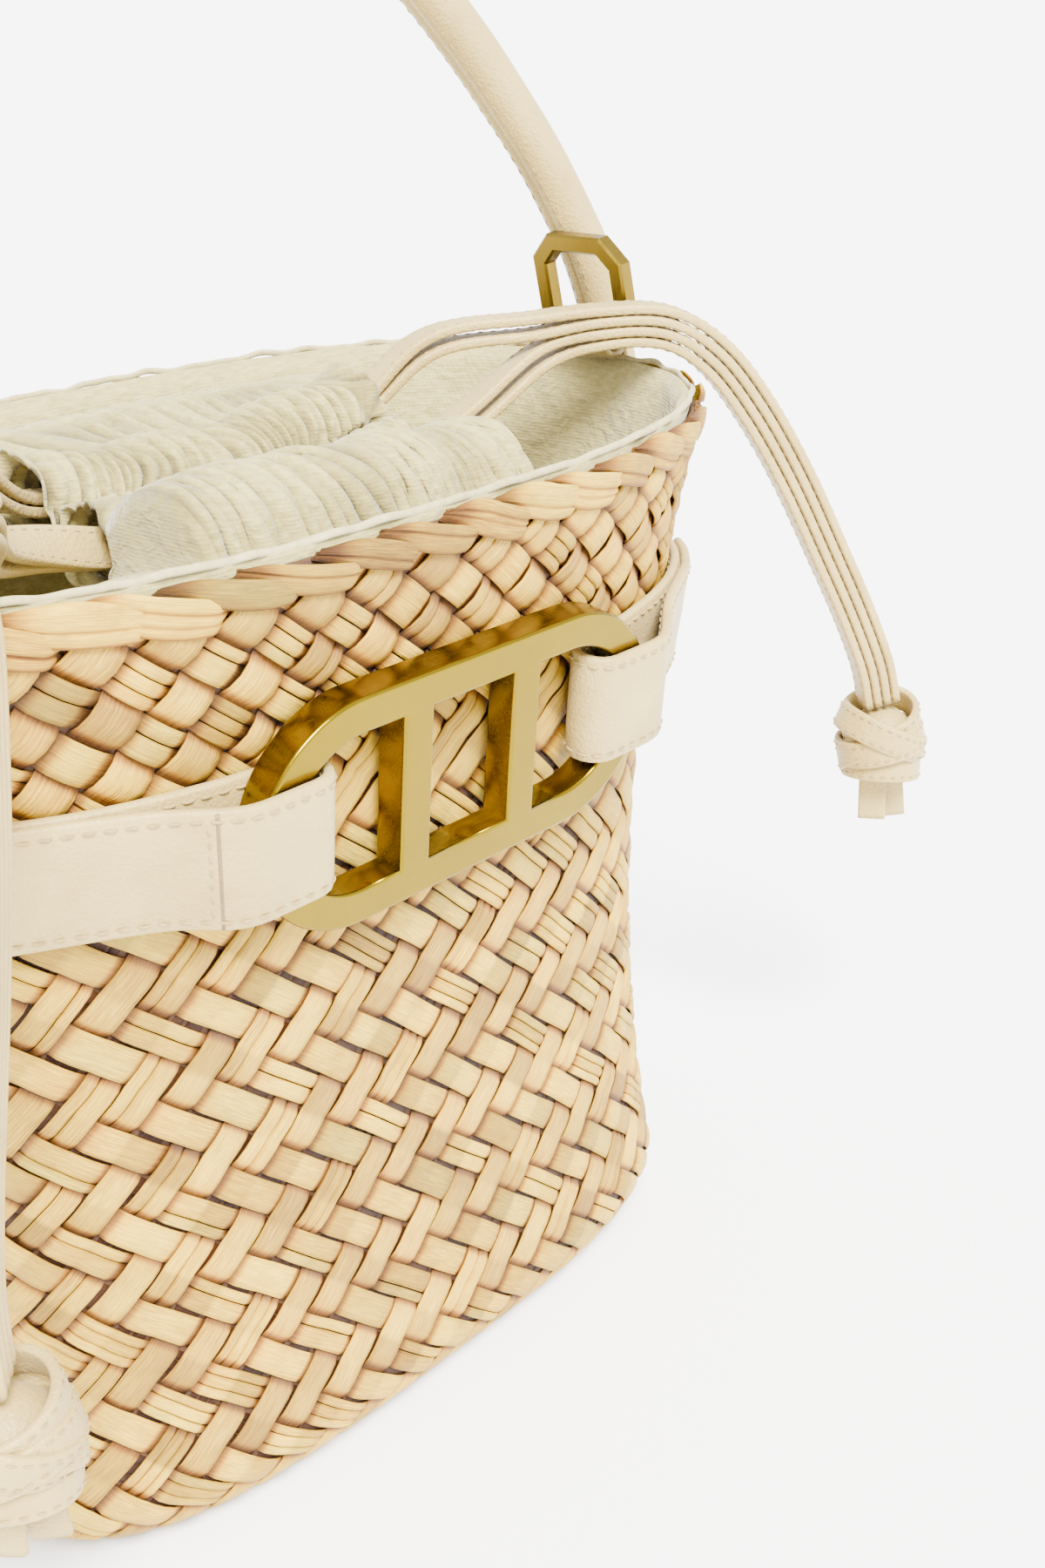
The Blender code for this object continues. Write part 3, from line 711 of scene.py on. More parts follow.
def wall(u, m, out=0.0):
    """A place on the wall: u is the share of the way round from the rear, m the way up its profile."""
    u, m, out = np.broadcast_arrays(np.asarray(u, float), np.asarray(m, float), np.asarray(out, float))
    column = (u % 1.0) * (PLACES.shape[1] - 1)
    row = np.interp(m, LEVELS, np.arange(len(LEVELS)))
    c0, r0 = np.floor(column).astype(int), np.minimum(np.floor(row).astype(int), len(LEVELS) - 2)
    fc, fr = (column - c0)[..., None], (row - r0)[..., None]
    c1 = np.minimum(c0 + 1, PLACES.shape[1] - 1)
    found = []
    for table in (PLACES, NORMALS):
        low = table[r0, c0] * (1 - fc) + table[r0, c1] * fc
        high = table[r0 + 1, c0] * (1 - fc) + table[r0 + 1, c1] * fc
        found.append(low * (1 - fr) + high * fr)
    return found[0] + out[..., None] * unit(found[1])


def wall_normal(u, m):
    return unit(wall(u, m, 1.0) - wall(u, m, 0.0))


# ------------------------------------------------------------------ basket
def falling_is_over(i, j):
    """Whether falling strip i lies over rising strip j."""
    plain = (i - j) / 2 > PLAIN_CLIMB
    return np.where(plain, (j - i) % 2 == 0, (j - i) % 4 < 2)


def chance(*keys):
    """The same number from 0 to 1 for the same whole numbers."""
    mixed = sum(np.asarray(k) * f for k, f in zip(keys, (12.9898, 78.233, 37.719)))
    value = np.sin(mixed) * 43758.5453
    return value - np.floor(value)


def straw(name, strips, weld=False):
    """One piece from strips of palm, each a body, its lay for the fibres, and its tone."""
    bodies, lays, tones = zip(*strips)
    marks = {"lay": np.concatenate(lays), "tone": np.concatenate(tones)}
    piece(name, merge(bodies), PALM, ["basket_body"], marks=marks, weld=weld)


def edged(values):
    """Values across a strip's top, followed by those at its two lower edges."""
    return np.concatenate([values, values[:, [-1, 0]]], axis=1)


def strip(index, family, low, high):
    """One sub-strip of a palm strip, from low to high across it. Family 0 falls to the right, 1 rises.

    own and other count the strips of its own family and of the one it crosses. climb is how far it has
    climbed, in strips, and level is 1 where it lies over the other family and -1 where it lies under.
    """
    first, last = index + 2 * LOW_CLIMB, index + 1 + 2 * TOP_CLIMB
    if family == 0:
        first, last = index - 2 * TOP_CLIMB, index + 1 - 2 * LOW_CLIMB
    cells = range(math.floor(first), math.ceil(last))
    other = np.array([j + f for j in cells for f in (0.0, 0.2, 0.5, 0.8)])
    across = np.array([-1.0, -0.6, 0.0, 0.6, 1.0])
    sway = 0.025 * np.sin(other[:, None] * 0.7 + index * 2.1) + 0.012 * np.sin(other[:, None] * 2.3 + index)
    own = index + (low + high) / 2 + (high - low) / 2 * across[None, :] + sway
    other = np.repeat(other[:, None], len(across), axis=1)
    climb = (own - other) / 2 if family == 0 else (other - own) / 2
    inside = (climb < TOP_CLIMB).any(1) & (climb > LOW_CLIMB).any(1)
    own, other, climb = own[inside], other[inside], np.clip(climb[inside], LOW_CLIMB, TOP_CLIMB)
    other = own - 2 * climb if family == 0 else own + 2 * climb
    j = np.floor(other + 1e-6).astype(int)
    f = other - j

    def over(k):
        lies_over = falling_is_over(index, k) if family == 0 else ~falling_is_over(k, index)
        return np.where(lies_over, 1.0, -1.0)

    before, here, after = over(j - 1), over(j), over(j + 1)
    edge = 0.31
    level = np.where(f < edge, before + (here - before) * ease(0.5 + f / edge / 2),
                     np.where(f > 1 - edge, here + (after - here) * ease((f - 1 + edge) / edge / 2), here))
    plain = np.abs(climb) > PLAIN_CLIMB
    puff = np.where(here > 0, np.sin(math.pi * np.clip(f, 0.0, 1.0)), 0.0) * np.where(plain, 0.85, 0.28)
    puff *= np.where((here > 0) & (before > 0) | (after > 0) & (here > 0), 0.7, 1.0)
    height = SINK - 0.18 * family + WAVE * level + puff - 0.42 * across[None, :] ** 2
    height += 0.12 * (chance(index, family, j) - 0.5)
    u = (own - climb) / STRIPS if family == 0 else (own + climb) / STRIPS
    m = np.interp(climb, CLIMB, LEVELS)
    height -= 0.9 * ease((m - HEIGHT + 14) / 9)
    top = wall(u, m, height)
    low_edge = wall(u[:, [-1, 0]], m[:, [-1, 0]], height[:, [-1, 0]] - STRIP_THICK)
    run = edged(other) * 0.8
    # Painted shade: darker where the strip dives under the other family, towards its rolled edges and on its
    # lower edges.
    rolled = edged(level - 0.12 * np.abs(across)[None, :] ** 3)
    rolled[:, -2:] -= 0.5
    depth = np.clip(0.80 - 0.80 * rolled, 0, 1)
    luck = chance(index, family + 5, round(low * 10))
    # The rising strips take darker tones: painted shade, for they lie sunk under the falling ones.
    tone_with_family_shade = np.full_like(run, 0.25 + 0.75 * luck if family == 0 else 0.08 + 0.50 * luck)
    lay = np.stack([run + 31.7 * index, edged(own), np.full_like(run, index + 60.0 * family)], axis=-1)
    tone = np.stack([tone_with_family_shade, chance(edged(j), family + 2, index), depth], axis=-1)
    return loft(np.concatenate([top, low_edge], axis=1)), lay.reshape(-1, 3), tone.reshape(-1, 3)


def weave(name, family):
    """All the strips that lean one way: most are whole, some split in two or three."""
    strips = []
    for index in range(STRIPS):
        pick = chance(index, family + 9, 4)
        wide = 0.83 + 0.09 * chance(index, family, 7)
        edge = (1 - wide) / 2
        if pick < 0.62:
            spans = [(edge, 1 - edge)]
        elif pick < 0.87:
            cut = 0.3 + 0.4 * chance(index, family, 3)
            spans = [(edge, cut - 0.02), (cut + 0.02, 1 - edge)]
        else:
            spans = [(edge, 0.32), (0.35, 0.66), (0.69, 1 - edge)]
        strips += [strip(index, family, low, high) for low, high in spans]
    straw(name, strips, weld=True)


def rim_petals():
    """The strips' ends, each folded over the rim and tucked in to the right."""
    petals = []
    bend = 1.6
    s, c = np.meshgrid(np.linspace(0, 1, 26), np.linspace(-1, 1, 21), indexing="ij")
    for k in range(STRIPS):
        luck = rng.random(6)
        length = (1.72 + 0.3 * luck[0]) / STRIPS
        half = 2.9 + 1.5 * luck[1]
        width = half * np.clip(np.sin(math.pi * (0.06 + 0.80 * s)), 0, 1) ** 0.55
        middle = HEIGHT - 2.7 - (5.6 + 2.2 * luck[2]) * s**1.15 + 0.7 * luck[3]
        m = middle + 0.5 * np.sin(5 * s + 9 * luck[5]) + c * width
        rise = 0.1 + 1.2 * np.sin(math.pi * np.clip(s * 0.95 + 0.06, 0, 1)) ** 0.8
        rise = rise - 1.7 * (1 - s) ** 3 - 2.2 * ease((s - 0.84) / 0.16)
        crease = 0.5 * np.exp(-((c - 0.5 + luck[5] + 0.2 * s) / 0.12) ** 2) * (luck[4] > 0.25)
        crease = crease + 0.4 * np.exp(-((c + 0.45 - 0.4 * luck[3]) / 0.10) ** 2) * (luck[1] > 0.5)
        out = rise - 0.5 * c**2 + 0.3 * luck[4] - crease
        u = (k + 0.35 + 0.16 * luck[3]) / STRIPS + length * (s - 0.25) + 0.0016 * c
        angle = np.minimum(np.maximum(0, m - (HEIGHT - bend)) / bend, math.pi * 0.95)
        radius = bend + out
        place = wall(u, np.minimum(m, HEIGHT - bend)) + (radius * np.sin(angle))[..., None] * UP
        place += (radius * np.cos(angle) - bend)[..., None] * wall_normal(u, HEIGHT - bend)
        lay = np.stack([s * 3.0 + 17.0 * k, c * 0.5, np.full_like(s, 200.0 + k)], axis=-1).reshape(-1, 3)
        # Painted shade: darker at the petal's tucked start and end, along its lower edge and in its creases,
        # with faint bands along it.
        fold = 1.0 * (1 - ease(s / 0.38)) + 0.8 * ease((s - 0.86) / 0.14) + 0.7 * ease((-c - 0.6) / 0.4)
        fold = np.clip(fold + 1.3 * crease, 0, 1) * 0.72 + 0.10 * np.abs(np.sin(9 * c + 5 * luck[2]))
        tone = np.stack([np.full_like(s, luck[0]), np.full_like(s, luck[1]), fold], axis=-1).reshape(-1, 3)
        petals.append((slab(place, STRIP_THICK), np.tile(lay, (2, 1)), np.tile(tone, (2, 1))))
    straw("rim_petals", petals)


def cup_levels(top, count):
    """Heights up the wall's profile, from the middle of the base to that top."""
    return np.concatenate([[-31, -20, -9], np.linspace(-4, CORNER, 7), np.linspace(24, top, count)])


def cup(levels, outer, inner, count=180):
    """A closed cup: outside from the base up, then inside back down."""
    u = np.arange(count) / count
    rings = [wall(u, m, outer) for m in levels] + [wall(u, m, inner(u, m)) for m in levels[::-1]]
    return loft(rings)


def base_mat():
    """The woven underside: flat strips both ways."""
    strips = []
    step, half_x, half_y = 9.0, 72.0, 31.0
    for way in range(2):
        reach, span = (half_x, half_y) if way == 0 else (half_y, half_x)
        for k in range(int(-reach // step), int(reach // step) + 1):
            middle = (k + 0.5) * step
            if abs(middle) > reach - 3:
                continue
            limit = span * (1 - abs(middle / (reach + 6)) ** 3.2) ** (1 / 3.2)
            run = np.linspace(-limit, limit, 4 * int(limit // 3) + 3)
            under = np.where((np.floor(run / step) + k + way) % 2 == 0, 1.0, -1.0)
            under = np.convolve(np.pad(under, 2, mode="edge"), np.ones(5) / 5, mode="valid")
            z = 1.75 + 0.55 * under
            flat = np.stack([run * way + middle * (1 - way), run * (1 - way) + middle * way, z], axis=1)
            rings = strap_rings(flat, (1.0 - way, float(way), 0.0), step * 0.93, 0.7, corner=0.2)
            count = rings.shape[1]
            lay = np.stack([np.repeat(run / 9, count), np.tile(np.linspace(0, 1, count), len(run)),
                            np.full(len(run) * count, 300.0 + k + 40 * way)], axis=1)
            # The base mat gets a faint, even painted shade.
            tone = np.tile([chance(k, way, 1), chance(k, way, 2), 0.1], (len(lay), 1))
            strips.append((loft(rings), lay, tone))
    straw("base_mat", strips)


def basket():
    weave("weave_falling", 0)
    weave("weave_rising", 1)
    rim_petals()
    # A dark sheet just inside the weave stands for the shade in the gaps between strips.
    shade_sheet = cup(cup_levels(HEIGHT - 3.6, 22), -1.95, lambda u, m: -2.6)
    piece("basket_shade_sheet", shade_sheet, SHADE, ["basket_body"])
    base_mat()


basket()


def inside_cloth():
    """The lining, waved near its top, and its bound edge, which ripples with the weave."""
    def inner(u, m):
        wave = 0.5 * np.sin(2 * math.pi * 23 * u + 2 * np.sin(9 * math.pi * u)) * ease((m - 90) / 110)
        return -4.3 - 0.5 + wave - 0.5 * np.sin(2 * math.pi * 5 * u + 0.03 * m)

    piece("lining_cloth", cup(cup_levels(HEIGHT - 1.4, 40), -3.2, inner, 360), LINEN, ["lining"])
    u = np.arange(720) / 720
    turn = 2 * math.pi * u
    ripple = 0.45 * np.sin(STRIPS * turn) + 0.5 * np.sin(17 * turn + 1.0)
    ripple += 0.3 * np.sin(71 * turn + 2.0 * np.sin(5 * turn))
    middle = wall(u, HEIGHT, -4.0 + 0.5 * ripple) + (0.6 * ripple - 0.5)[:, None] * UP
    away = wall_normal(u, HEIGHT)
    rings = [middle + 0.6 * math.cos(a) * away + (0.75 * math.sin(a) - 0.4) * UP for a in turns_round(10)]
    piece("rim_binding", loft(np.stack(rings, axis=1), cyclic=True), BINDING, ["rim_piping"])


inside_cloth()


# ------------------------------------------------------------------ gathered mouth
# The panels' cross-sections from casing to rim: share of the way, and height off the straight line.
FRONT_ROLL = [(0, 0), (0.07, 4.2), (0.20, 8.4), (0.36, 10.4), (0.50, 9.2), (0.60, 5.0), (0.645, -1.0),
              (0.70, -6.0), (0.83, -7.5), (1.0, -2.0)]
REAR_DRAPE = [(0, 0), (0.15, -1.8), (0.40, -3.6), (0.65, -3.0), (0.85, -0.8), (1.0, 0)]


def round_line(line, radii, side, other):
    """Rings of those radii round a line, from its side towards its other direction across."""
    angle = turns_round(radii.shape[1])[None, :, None]
    return line[:, None] + radii[..., None] * (np.cos(angle) * side[:, None] + np.sin(angle) * other[:, None])


def gathers(s, angle, seed):
    """Round ridges with sharp valleys, 0 to 1, for cloth drawn up along s mm, at that angle round a tube."""
    warped = s + 2.1 * np.sin(s / 7.3 + seed) + 1.2 * np.sin(s / 3.1 + 2 * seed)
    warped = warped + 1.5 * np.sin(angle + seed) + 0.9 * np.sin(2 * angle + s / 9.0)
    main = np.abs(np.sin(math.pi * warped / 4.5)) ** 0.65
    split = np.abs(np.sin(math.pi * (warped + 2.6 * np.cos(1.7 * angle - seed)) / 2.5)) ** 0.8
    deep = 0.65 + 0.35 * np.sin(s / 5.1 + 3 * seed + 1.4 * angle)
    return 0.62 * main * deep + 0.38 * split


def painted_fold_shade(ridge):
    """Marks that tell the cloth how deep in a fold each point lies, 0 to 1, for painted shade there."""
    depth = np.clip((0.80 - ridge) / 0.68, 0, 1)
    return np.stack([depth, depth * 0, depth * 0], axis=-1).reshape(-1, 3)


def casing(end, route, seed):
    """A drawn-up cloth tube round a strap: closed, with its own thickness, ruffled at both mouths."""
    line = resample(smooth_route(np.array(route) / MM, ROUTE_STEPS), 0.34)
    s = along(line)
    tangent = tangents(line)
    across = unit(np.cross(tangent, UP))
    up = np.cross(across, tangent)
    angle = turns_round(60)
    mouths = np.exp(-s / 3.0) + np.exp(-(s[-1] - s) / 3.0)
    ridge = gathers(s[:, None], angle[None, :], seed)
    ruffle = mouths[:, None] * (0.7 + 0.9 * np.sin(5 * angle + seed)[None, :])
    radii = CASING_R - 2.0 + PLEAT * ridge + ruffle
    outer, inner = round_line(line, radii, across, up), round_line(line, radii - CLOTH_THICK, across, up)
    body = loft(np.concatenate([outer, inner[::-1]]), cyclic=True)
    # The casing's folds get painted shade in their valleys.
    marks = {"tone": painted_fold_shade(np.concatenate([ridge, ridge[::-1]]))}
    obj = piece(f"mouth_casing_{end}", body, LINEN, [f"casing_{end}"], marks=marks)


def panel(end, route, side, spread, profile, seed):
    """The cloth from the rim to a casing, its pleats running on from it.

    side is -1 at the front and 1 at the rear, and spread is its share of the rim to the left and right.
    At the front, past is 0 where the cloth runs beyond the casing's left mouth, and it lies low there.
    """
    line = resample(smooth_route(np.array(route) / MM, ROUTE_STEPS), 0.42)
    s = along(line)
    t = np.linspace(-1, 1, len(line))
    past = ease((line[:, 0] + 35.2) / 1.8) if side < 0 else np.ones(len(line))
    cross = smooth_route(np.array(profile, float), 6)
    v = np.linspace(0, 1, len(cross))[None, :]
    u0 = 0.5 if side < 0 else 0.0
    rim = wall(u0 - side * (0.012 + t * np.where(t < 0, spread[0], spread[1])), HEIGHT - 6.5, -5.9)
    lift = np.radians(-55 + 93 * past) if side < 0 else np.radians(10) * past
    near = line + np.stack([0 * lift, side * np.cos(lift), np.sin(lift)], axis=1) * (CASING_R - 0.6)
    grid = near[:, None] + (rim - near)[:, None] * cross[None, :, :1]
    full = (1 - 0.55 * ease((t - 0.45) / 0.55) + 0.10 * np.sin(7 * t + seed)) * (0.1 + 0.9 * past)
    grid[..., 2] += cross[None, :, 1] * full[:, None]
    fold = gathers(s[:, None] + 3.0 * v, 0.8 + 1.6 * v, seed)
    wide = np.abs(np.sin(s[:, None] / 6.1 + seed + 1.1 * v)) ** 0.8
    gather = 1 - 0.7 * ease((v - 0.75) / 0.25) - 0.35 * ease((t - 0.6) / 0.4)[:, None]
    gather = gather * (0.35 + 0.65 * past)[:, None]
    normal = unit(np.cross(np.gradient(grid, axis=0), np.gradient(grid, axis=1)))
    normal *= np.sign(normal[..., 2].mean())
    grid += (PLEAT * gather * (fold - 0.55) + 1.5 * wide * np.sin(math.pi * v))[..., None] * normal
    deep = 1 - (1 - fold) * gather
    # The panel's folds get painted shade in their valleys.
    marks = {"tone": np.concatenate([painted_fold_shade(deep)] * 2)}
    obj = piece(f"mouth_panel_{end}", slab(grid, CLOTH_THICK), LINEN, [f"flap_{end}"], marks=marks)


casing("front", FRONT_CASING, 1.0)
casing("rear", REAR_CASING, 4.0)
panel("front", LEFT_CLOTH + FRONT_CASING, -1, (0.150, 0.062), FRONT_ROLL, 1.0)
panel("rear", REAR_CASING, 1, (0.135, 0.120), REAR_DRAPE, 4.0)


# ------------------------------------------------------------------ belt
def front_turn(x, z):
    """The turn at which the outline at height z crosses x on the front."""
    a, _, power = half_axes(z)
    return math.copysign(math.asin(min(1.0, (abs(x) / a)) ** (power / 2)), x)


def on_wall(turn, out, up):
    """A place out millimetres off the wall, up above the belt's middle there."""
    z = BELT_Z - BELT_RISE * math.cos(2 * turn) + up
    p = outline(z, turn, out * math.cos(BUCKLE_TILT))
    p[2] -= out * math.sin(BUCKLE_TILT)
    return p


def on_plane(x, out, up):
    """The same, off the leaning plane that touches the front of the wall."""
    c, s = math.cos(BUCKLE_TILT), math.sin(BUCKLE_TILT)
    return np.array([x, -half_axes(FRONT_Z)[1] - out * c - up * s, FRONT_Z - out * s + up * c])


def belt_end(sign):
    """The belt's middle from its free end over the buckle's end bar to where it lies back on the wall."""
    back = BELT_GAP + BELT_THICK / 2
    over_back = back + BELT_THICK + 0.3
    over_bar = BUCKLE_LIFT + BUCKLE_DEEP + 0.3 + BELT_THICK / 2
    bar = BUCKLE_X + sign * BUCKLE_HALF
    low = back - 1.1
    radius = (over_bar - low) / 2
    fold = bar - sign * (FOLD_IN - radius)
    end = [(on_wall, sign * math.radians(turn), over_back) for turn in (66, 60, 54, 48)]
    end += [(on_wall, front_turn(bar + sign * 13, FRONT_Z), over_back + 1.5)]
    end += [(on_plane, bar + sign * x, over_bar - y) for x, y in ((6, 2.2), (1.5, 0.3), (-4, 0), (-10, 0))]
    for angle in np.linspace(0, math.pi, 7):
        end.append((on_plane, fold - sign * radius * math.sin(angle), low + radius * (1 + math.cos(angle))))
    end += [(on_wall, front_turn(bar - sign * x, FRONT_Z), back) for x in (9, 3, -3)]
    return end


def belt_lines():
    """The belt's middle and its direction across, along its whole length."""
    right, left = belt_end(1), belt_end(-1)
    first, last = right[-1][1], 2 * math.pi + left[-1][1]
    around = [(on_wall, first + (last - first) * k / 36, right[-1][2]) for k in range(1, 36)]
    path = right + around + left[::-1]
    high = smooth_route([kind(a, out, BELT_WIDTH / 2) for kind, a, out in path], 8)
    low = smooth_route([kind(a, out, -BELT_WIDTH / 2) for kind, a, out in path], 8)
    return (high + low) / 2, unit(high - low)


def belt():
    """The strap round the wall with sewn edges, and the join where its folded end is sewn down."""
    centres, sides = evened(*belt_lines())
    tangent = tangents(centres)
    normal = np.cross(tangent, sides)
    if normal[len(normal) // 2, 1] < 0:
        normal = -normal
    rings = strap_rings(centres, sides, BELT_WIDTH, BELT_THICK, corner=0.7)
    hide("belt_leather", loft(rings), ["belt_strap"])
    rows = []
    for across, face in ((-1, -1), (-1, 1), (1, -1), (1, 1)):
        line = centres + across * (BELT_WIDTH / 2 - 2.0) * sides + BELT_THICK * 0.53 * face * normal
        rows.append(stitches(line, face * normal, pitch=3.4, length=2.5))
    off_join = np.abs(centres[:, 0] - BELT_JOIN_X) + 1000 * (centres[:, 1] > 0) - 0.5 * np.abs(centres[:, 1])
    at = int(np.argmin(off_join))
    out = normal[at] * np.sign(-normal[at][1])
    rise = np.linspace(-BELT_WIDTH / 2 + 0.4, BELT_WIDTH / 2 - 0.4, 12)[:, None]
    line = centres[at] + rise * sides[at] + BELT_THICK * 0.53 * out
    rows.append(stitches(line[1:-1], np.tile(out, (10, 1)), pitch=2.8, length=2.0))
    fold = line + 1.5 * tangent[at] * np.sign(tangent[at][0]) - 0.05 * out
    join = loft(strap_rings(fold, tangent[at], 0.7, 0.34, corner=0.1))
    piece("belt_join", join, EDGE, ["belt_strap"])
    sewing("belt_seams", rows, ["belt_strap"])


belt()


# ------------------------------------------------------------------ buckle
def stadium(half, r, count):
    """A rounded slot's outline: half its length, its end radius and the steps in each end."""
    turns = [math.pi * k / count for k in range(count + 1)]
    right = [(half - r + r * math.sin(a), r * math.cos(a)) for a in turns]
    return right + [(-x, -y) for x, y in right]


def buckle():
    """A rounded slot frame with two uprights, its face leaning with the wall."""
    curve = bpy.data.curves.new("buckle_gold", "CURVE")
    curve.dimensions = "2D"
    curve.fill_mode = "BOTH"
    curve.extrude = (BUCKLE_DEEP / 2 - BUCKLE_EDGE) * MM
    curve.bevel_depth = BUCKLE_EDGE * MM
    curve.bevel_resolution = 4
    curve.offset = -BUCKLE_EDGE * MM
    half_l, half_h = BUCKLE_HALF - BUCKLE_RAIL, BUCKLE_HIGH / 2 - BUCKLE_RAIL
    near, far = POST_X - BUCKLE_POST / 2, POST_X + BUCKLE_POST / 2
    middle = [(-near, half_h), (near, half_h), (near, -half_h), (-near, -half_h)]
    right = [(far, half_h)] + stadium(half_l, half_h, 40)[:41] + [(far, -half_h)]
    loops = [stadium(BUCKLE_HALF, BUCKLE_HIGH / 2, 56), middle, right, [(-x, y) for x, y in right]]
    for loop in loops:
        spline = curve.splines.new("POLY")
        spline.points.add(len(loop) - 1)
        for point, (x, y) in zip(spline.points, loop):
            point.co = (x * MM, y * MM, 0, 1)
        spline.use_cyclic_u = True
    shape = bpy.data.objects.new("buckle_shape", curve)
    bpy.context.scene.collection.objects.link(shape)
    out = BUCKLE_LIFT + BUCKLE_DEEP / 2
    foot = outline(FRONT_Z, 0.0, out * math.cos(BUCKLE_TILT))
    shape.location = Vector((BUCKLE_X, foot[1], FRONT_Z - out * math.sin(BUCKLE_TILT))) * MM
    shape.rotation_euler = (math.pi / 2 + BUCKLE_TILT, 0, 0)
    bpy.context.view_layer.update()
    solid = shape.evaluated_get(bpy.context.evaluated_depsgraph_get())
    mesh = bpy.data.meshes.new_from_object(solid)
    mesh.transform(shape.matrix_world)
    bpy.data.objects.remove(shape)
    points = np.array([v.co for v in mesh.vertices]) / MM
    faces = [tuple(f.vertices) for f in mesh.polygons]
    obj = piece("buckle_gold", (points, faces), GOLD, ["buckle_frame"], weld=True)
    obj.modifiers.new("crisp", "WEIGHTED_NORMAL").keep_sharp = True


buckle()


# ------------------------------------------------------------------ handle
def handle_line():
    route = ARCH + [(-x, h) for x, h in ARCH[-2::-1]]
    flat = smooth_route(route, 8)
    lean = np.array([0, math.sin(HANDLE_LEAN), math.cos(HANDLE_LEAN)])
    return np.array([(x, 0, HINGE_Z) for x, _ in flat]) + flat[:, 1:2] * lean


def handle_roll(line):
    """A rolled tube with a butted seam along its inner side."""
    tangent = tangents(line)
    side = unit(np.cross(tangent, (0, 1, 0)))
    other = np.cross(tangent, side)
    inward = 1.0 if side[len(side) // 2] @ UP < 0 else -1.0
    from_seam = np.angle(np.exp(1j * (turns_round(48) - (0 if inward > 0 else math.pi))))
    groove = 0.6 * np.exp(-((from_seam / 0.12) ** 2))
    radii = HANDLE_R - groove[None, :] + 0.05 * np.sin(along(line) / 9.0)[:, None]
    hide("handle_roll", loft(round_line(line, radii, side, other)), ["handle"], "carry_handle")
    rows = []
    for lean in (-0.42, 0.42):
        normal = unit(inward * math.cos(lean) * side + math.sin(lean) * other)
        rows.append(stitches(line + HANDLE_R * normal, normal, pitch=3.4, length=2.3, size=0.34, lift=0.0))
    sewing("handle_seams", rows, ["handle"], "carry_handle")


def squircle(angle):
    """Both coordinates, -1 to 1, round a square with soft corners."""
    return [np.sign(part) * np.abs(part) ** 0.5 for part in (np.cos(angle), np.sin(angle))]


def handle_neck(label, sign, start):
    """The handle's end, which flattens on its way down to where it is sewn to the patch."""
    angle = turns_round(48)
    neck = smooth_route([(abs(start[0]), start[1], start[2])] + NECK, 6)
    neck[:, 0] *= sign
    flat = ease((along(neck) - 8) / 17)[:, None]
    thin, wide = squircle(angle)
    x = np.cos(angle)[None] * (HANDLE_R + 0.12) * (1 - flat) + 2.4 * thin[None] * flat
    y = np.sin(angle)[None] * (HANDLE_R + 0.12) * (1 - flat) + 7.4 * wide[None] * flat
    out = unit(np.cross(tangents(neck), (0, 1, 0)))
    rings = neck[:, None] + x[..., None] * out[:, None] + y[..., None] * np.array([0, 1.0, 0])
    obj = hide(f"handle_neck_{label}", loft(rings), ["handle", f"handle_end_{label}"], rides=None)
    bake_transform(obj)
    normal = np.sign(out[-10:, :1] * sign) * out[-10:]
    face = neck[-10:] + normal * 2.45
    rows = [stitches(face + (0, y, 0), normal, pitch=2.9, length=2.0, size=0.45) for y in (-5.6, 5.6)]
    sewing(f"handle_end_seams_{label}", rows, [f"handle_end_{label}"])


def handle():
    line = resample(handle_line(), 1.6)[9:-9]
    handle_roll(line)
    handle_neck("right", 1, line[0])
    handle_neck("left", -1, line[-1])


handle()


def handle_tab(label, sign):
    """The leather patch on the end wall that the handle is sewn to."""
    u0 = 0.5 + sign * 0.25
    girth = float(np.interp(TAB_Z, LEVELS, GIRTHS))
    s, v = np.meshgrid(np.linspace(-1, 1, 33), np.linspace(-1, 1, 33), indexing="ij")
    pull_s = 1 - 0.24 * (np.maximum(0, np.abs(v) - 0.6) / 0.4) ** 2 * np.abs(s) ** 6
    pull_v = 1 - 0.14 * (np.maximum(0, np.abs(s) - 0.6) / 0.4) ** 2 * np.abs(v) ** 6
    u = u0 + TAB_HALF_WIDE * s * pull_s / girth
    m = TAB_Z + TAB_HALF_HIGH * v * pull_v
    out = 2.9 - 0.9 * ease((np.maximum(np.abs(s), np.abs(v)) - 0.93) / 0.07)
    hide(f"tab_{label}", slab(wall(u, m, out), 2.3, wall_normal(u, m)), [f"handle_tab_{label}"])
    t = np.linspace(0, 2 * math.pi, 120)
    u = u0 + np.sign(np.cos(t)) * np.abs(np.cos(t)) ** 0.35 * 10.2 / girth
    m = TAB_Z + np.sign(np.sin(t)) * np.abs(np.sin(t)) ** 0.35 * 11.4
    sewing(f"tab_{label}_seams", [stitches(wall(u, m, 2.95), wall_normal(u, m), pitch=3.0, length=2.1)],
           [f"handle_tab_{label}"])


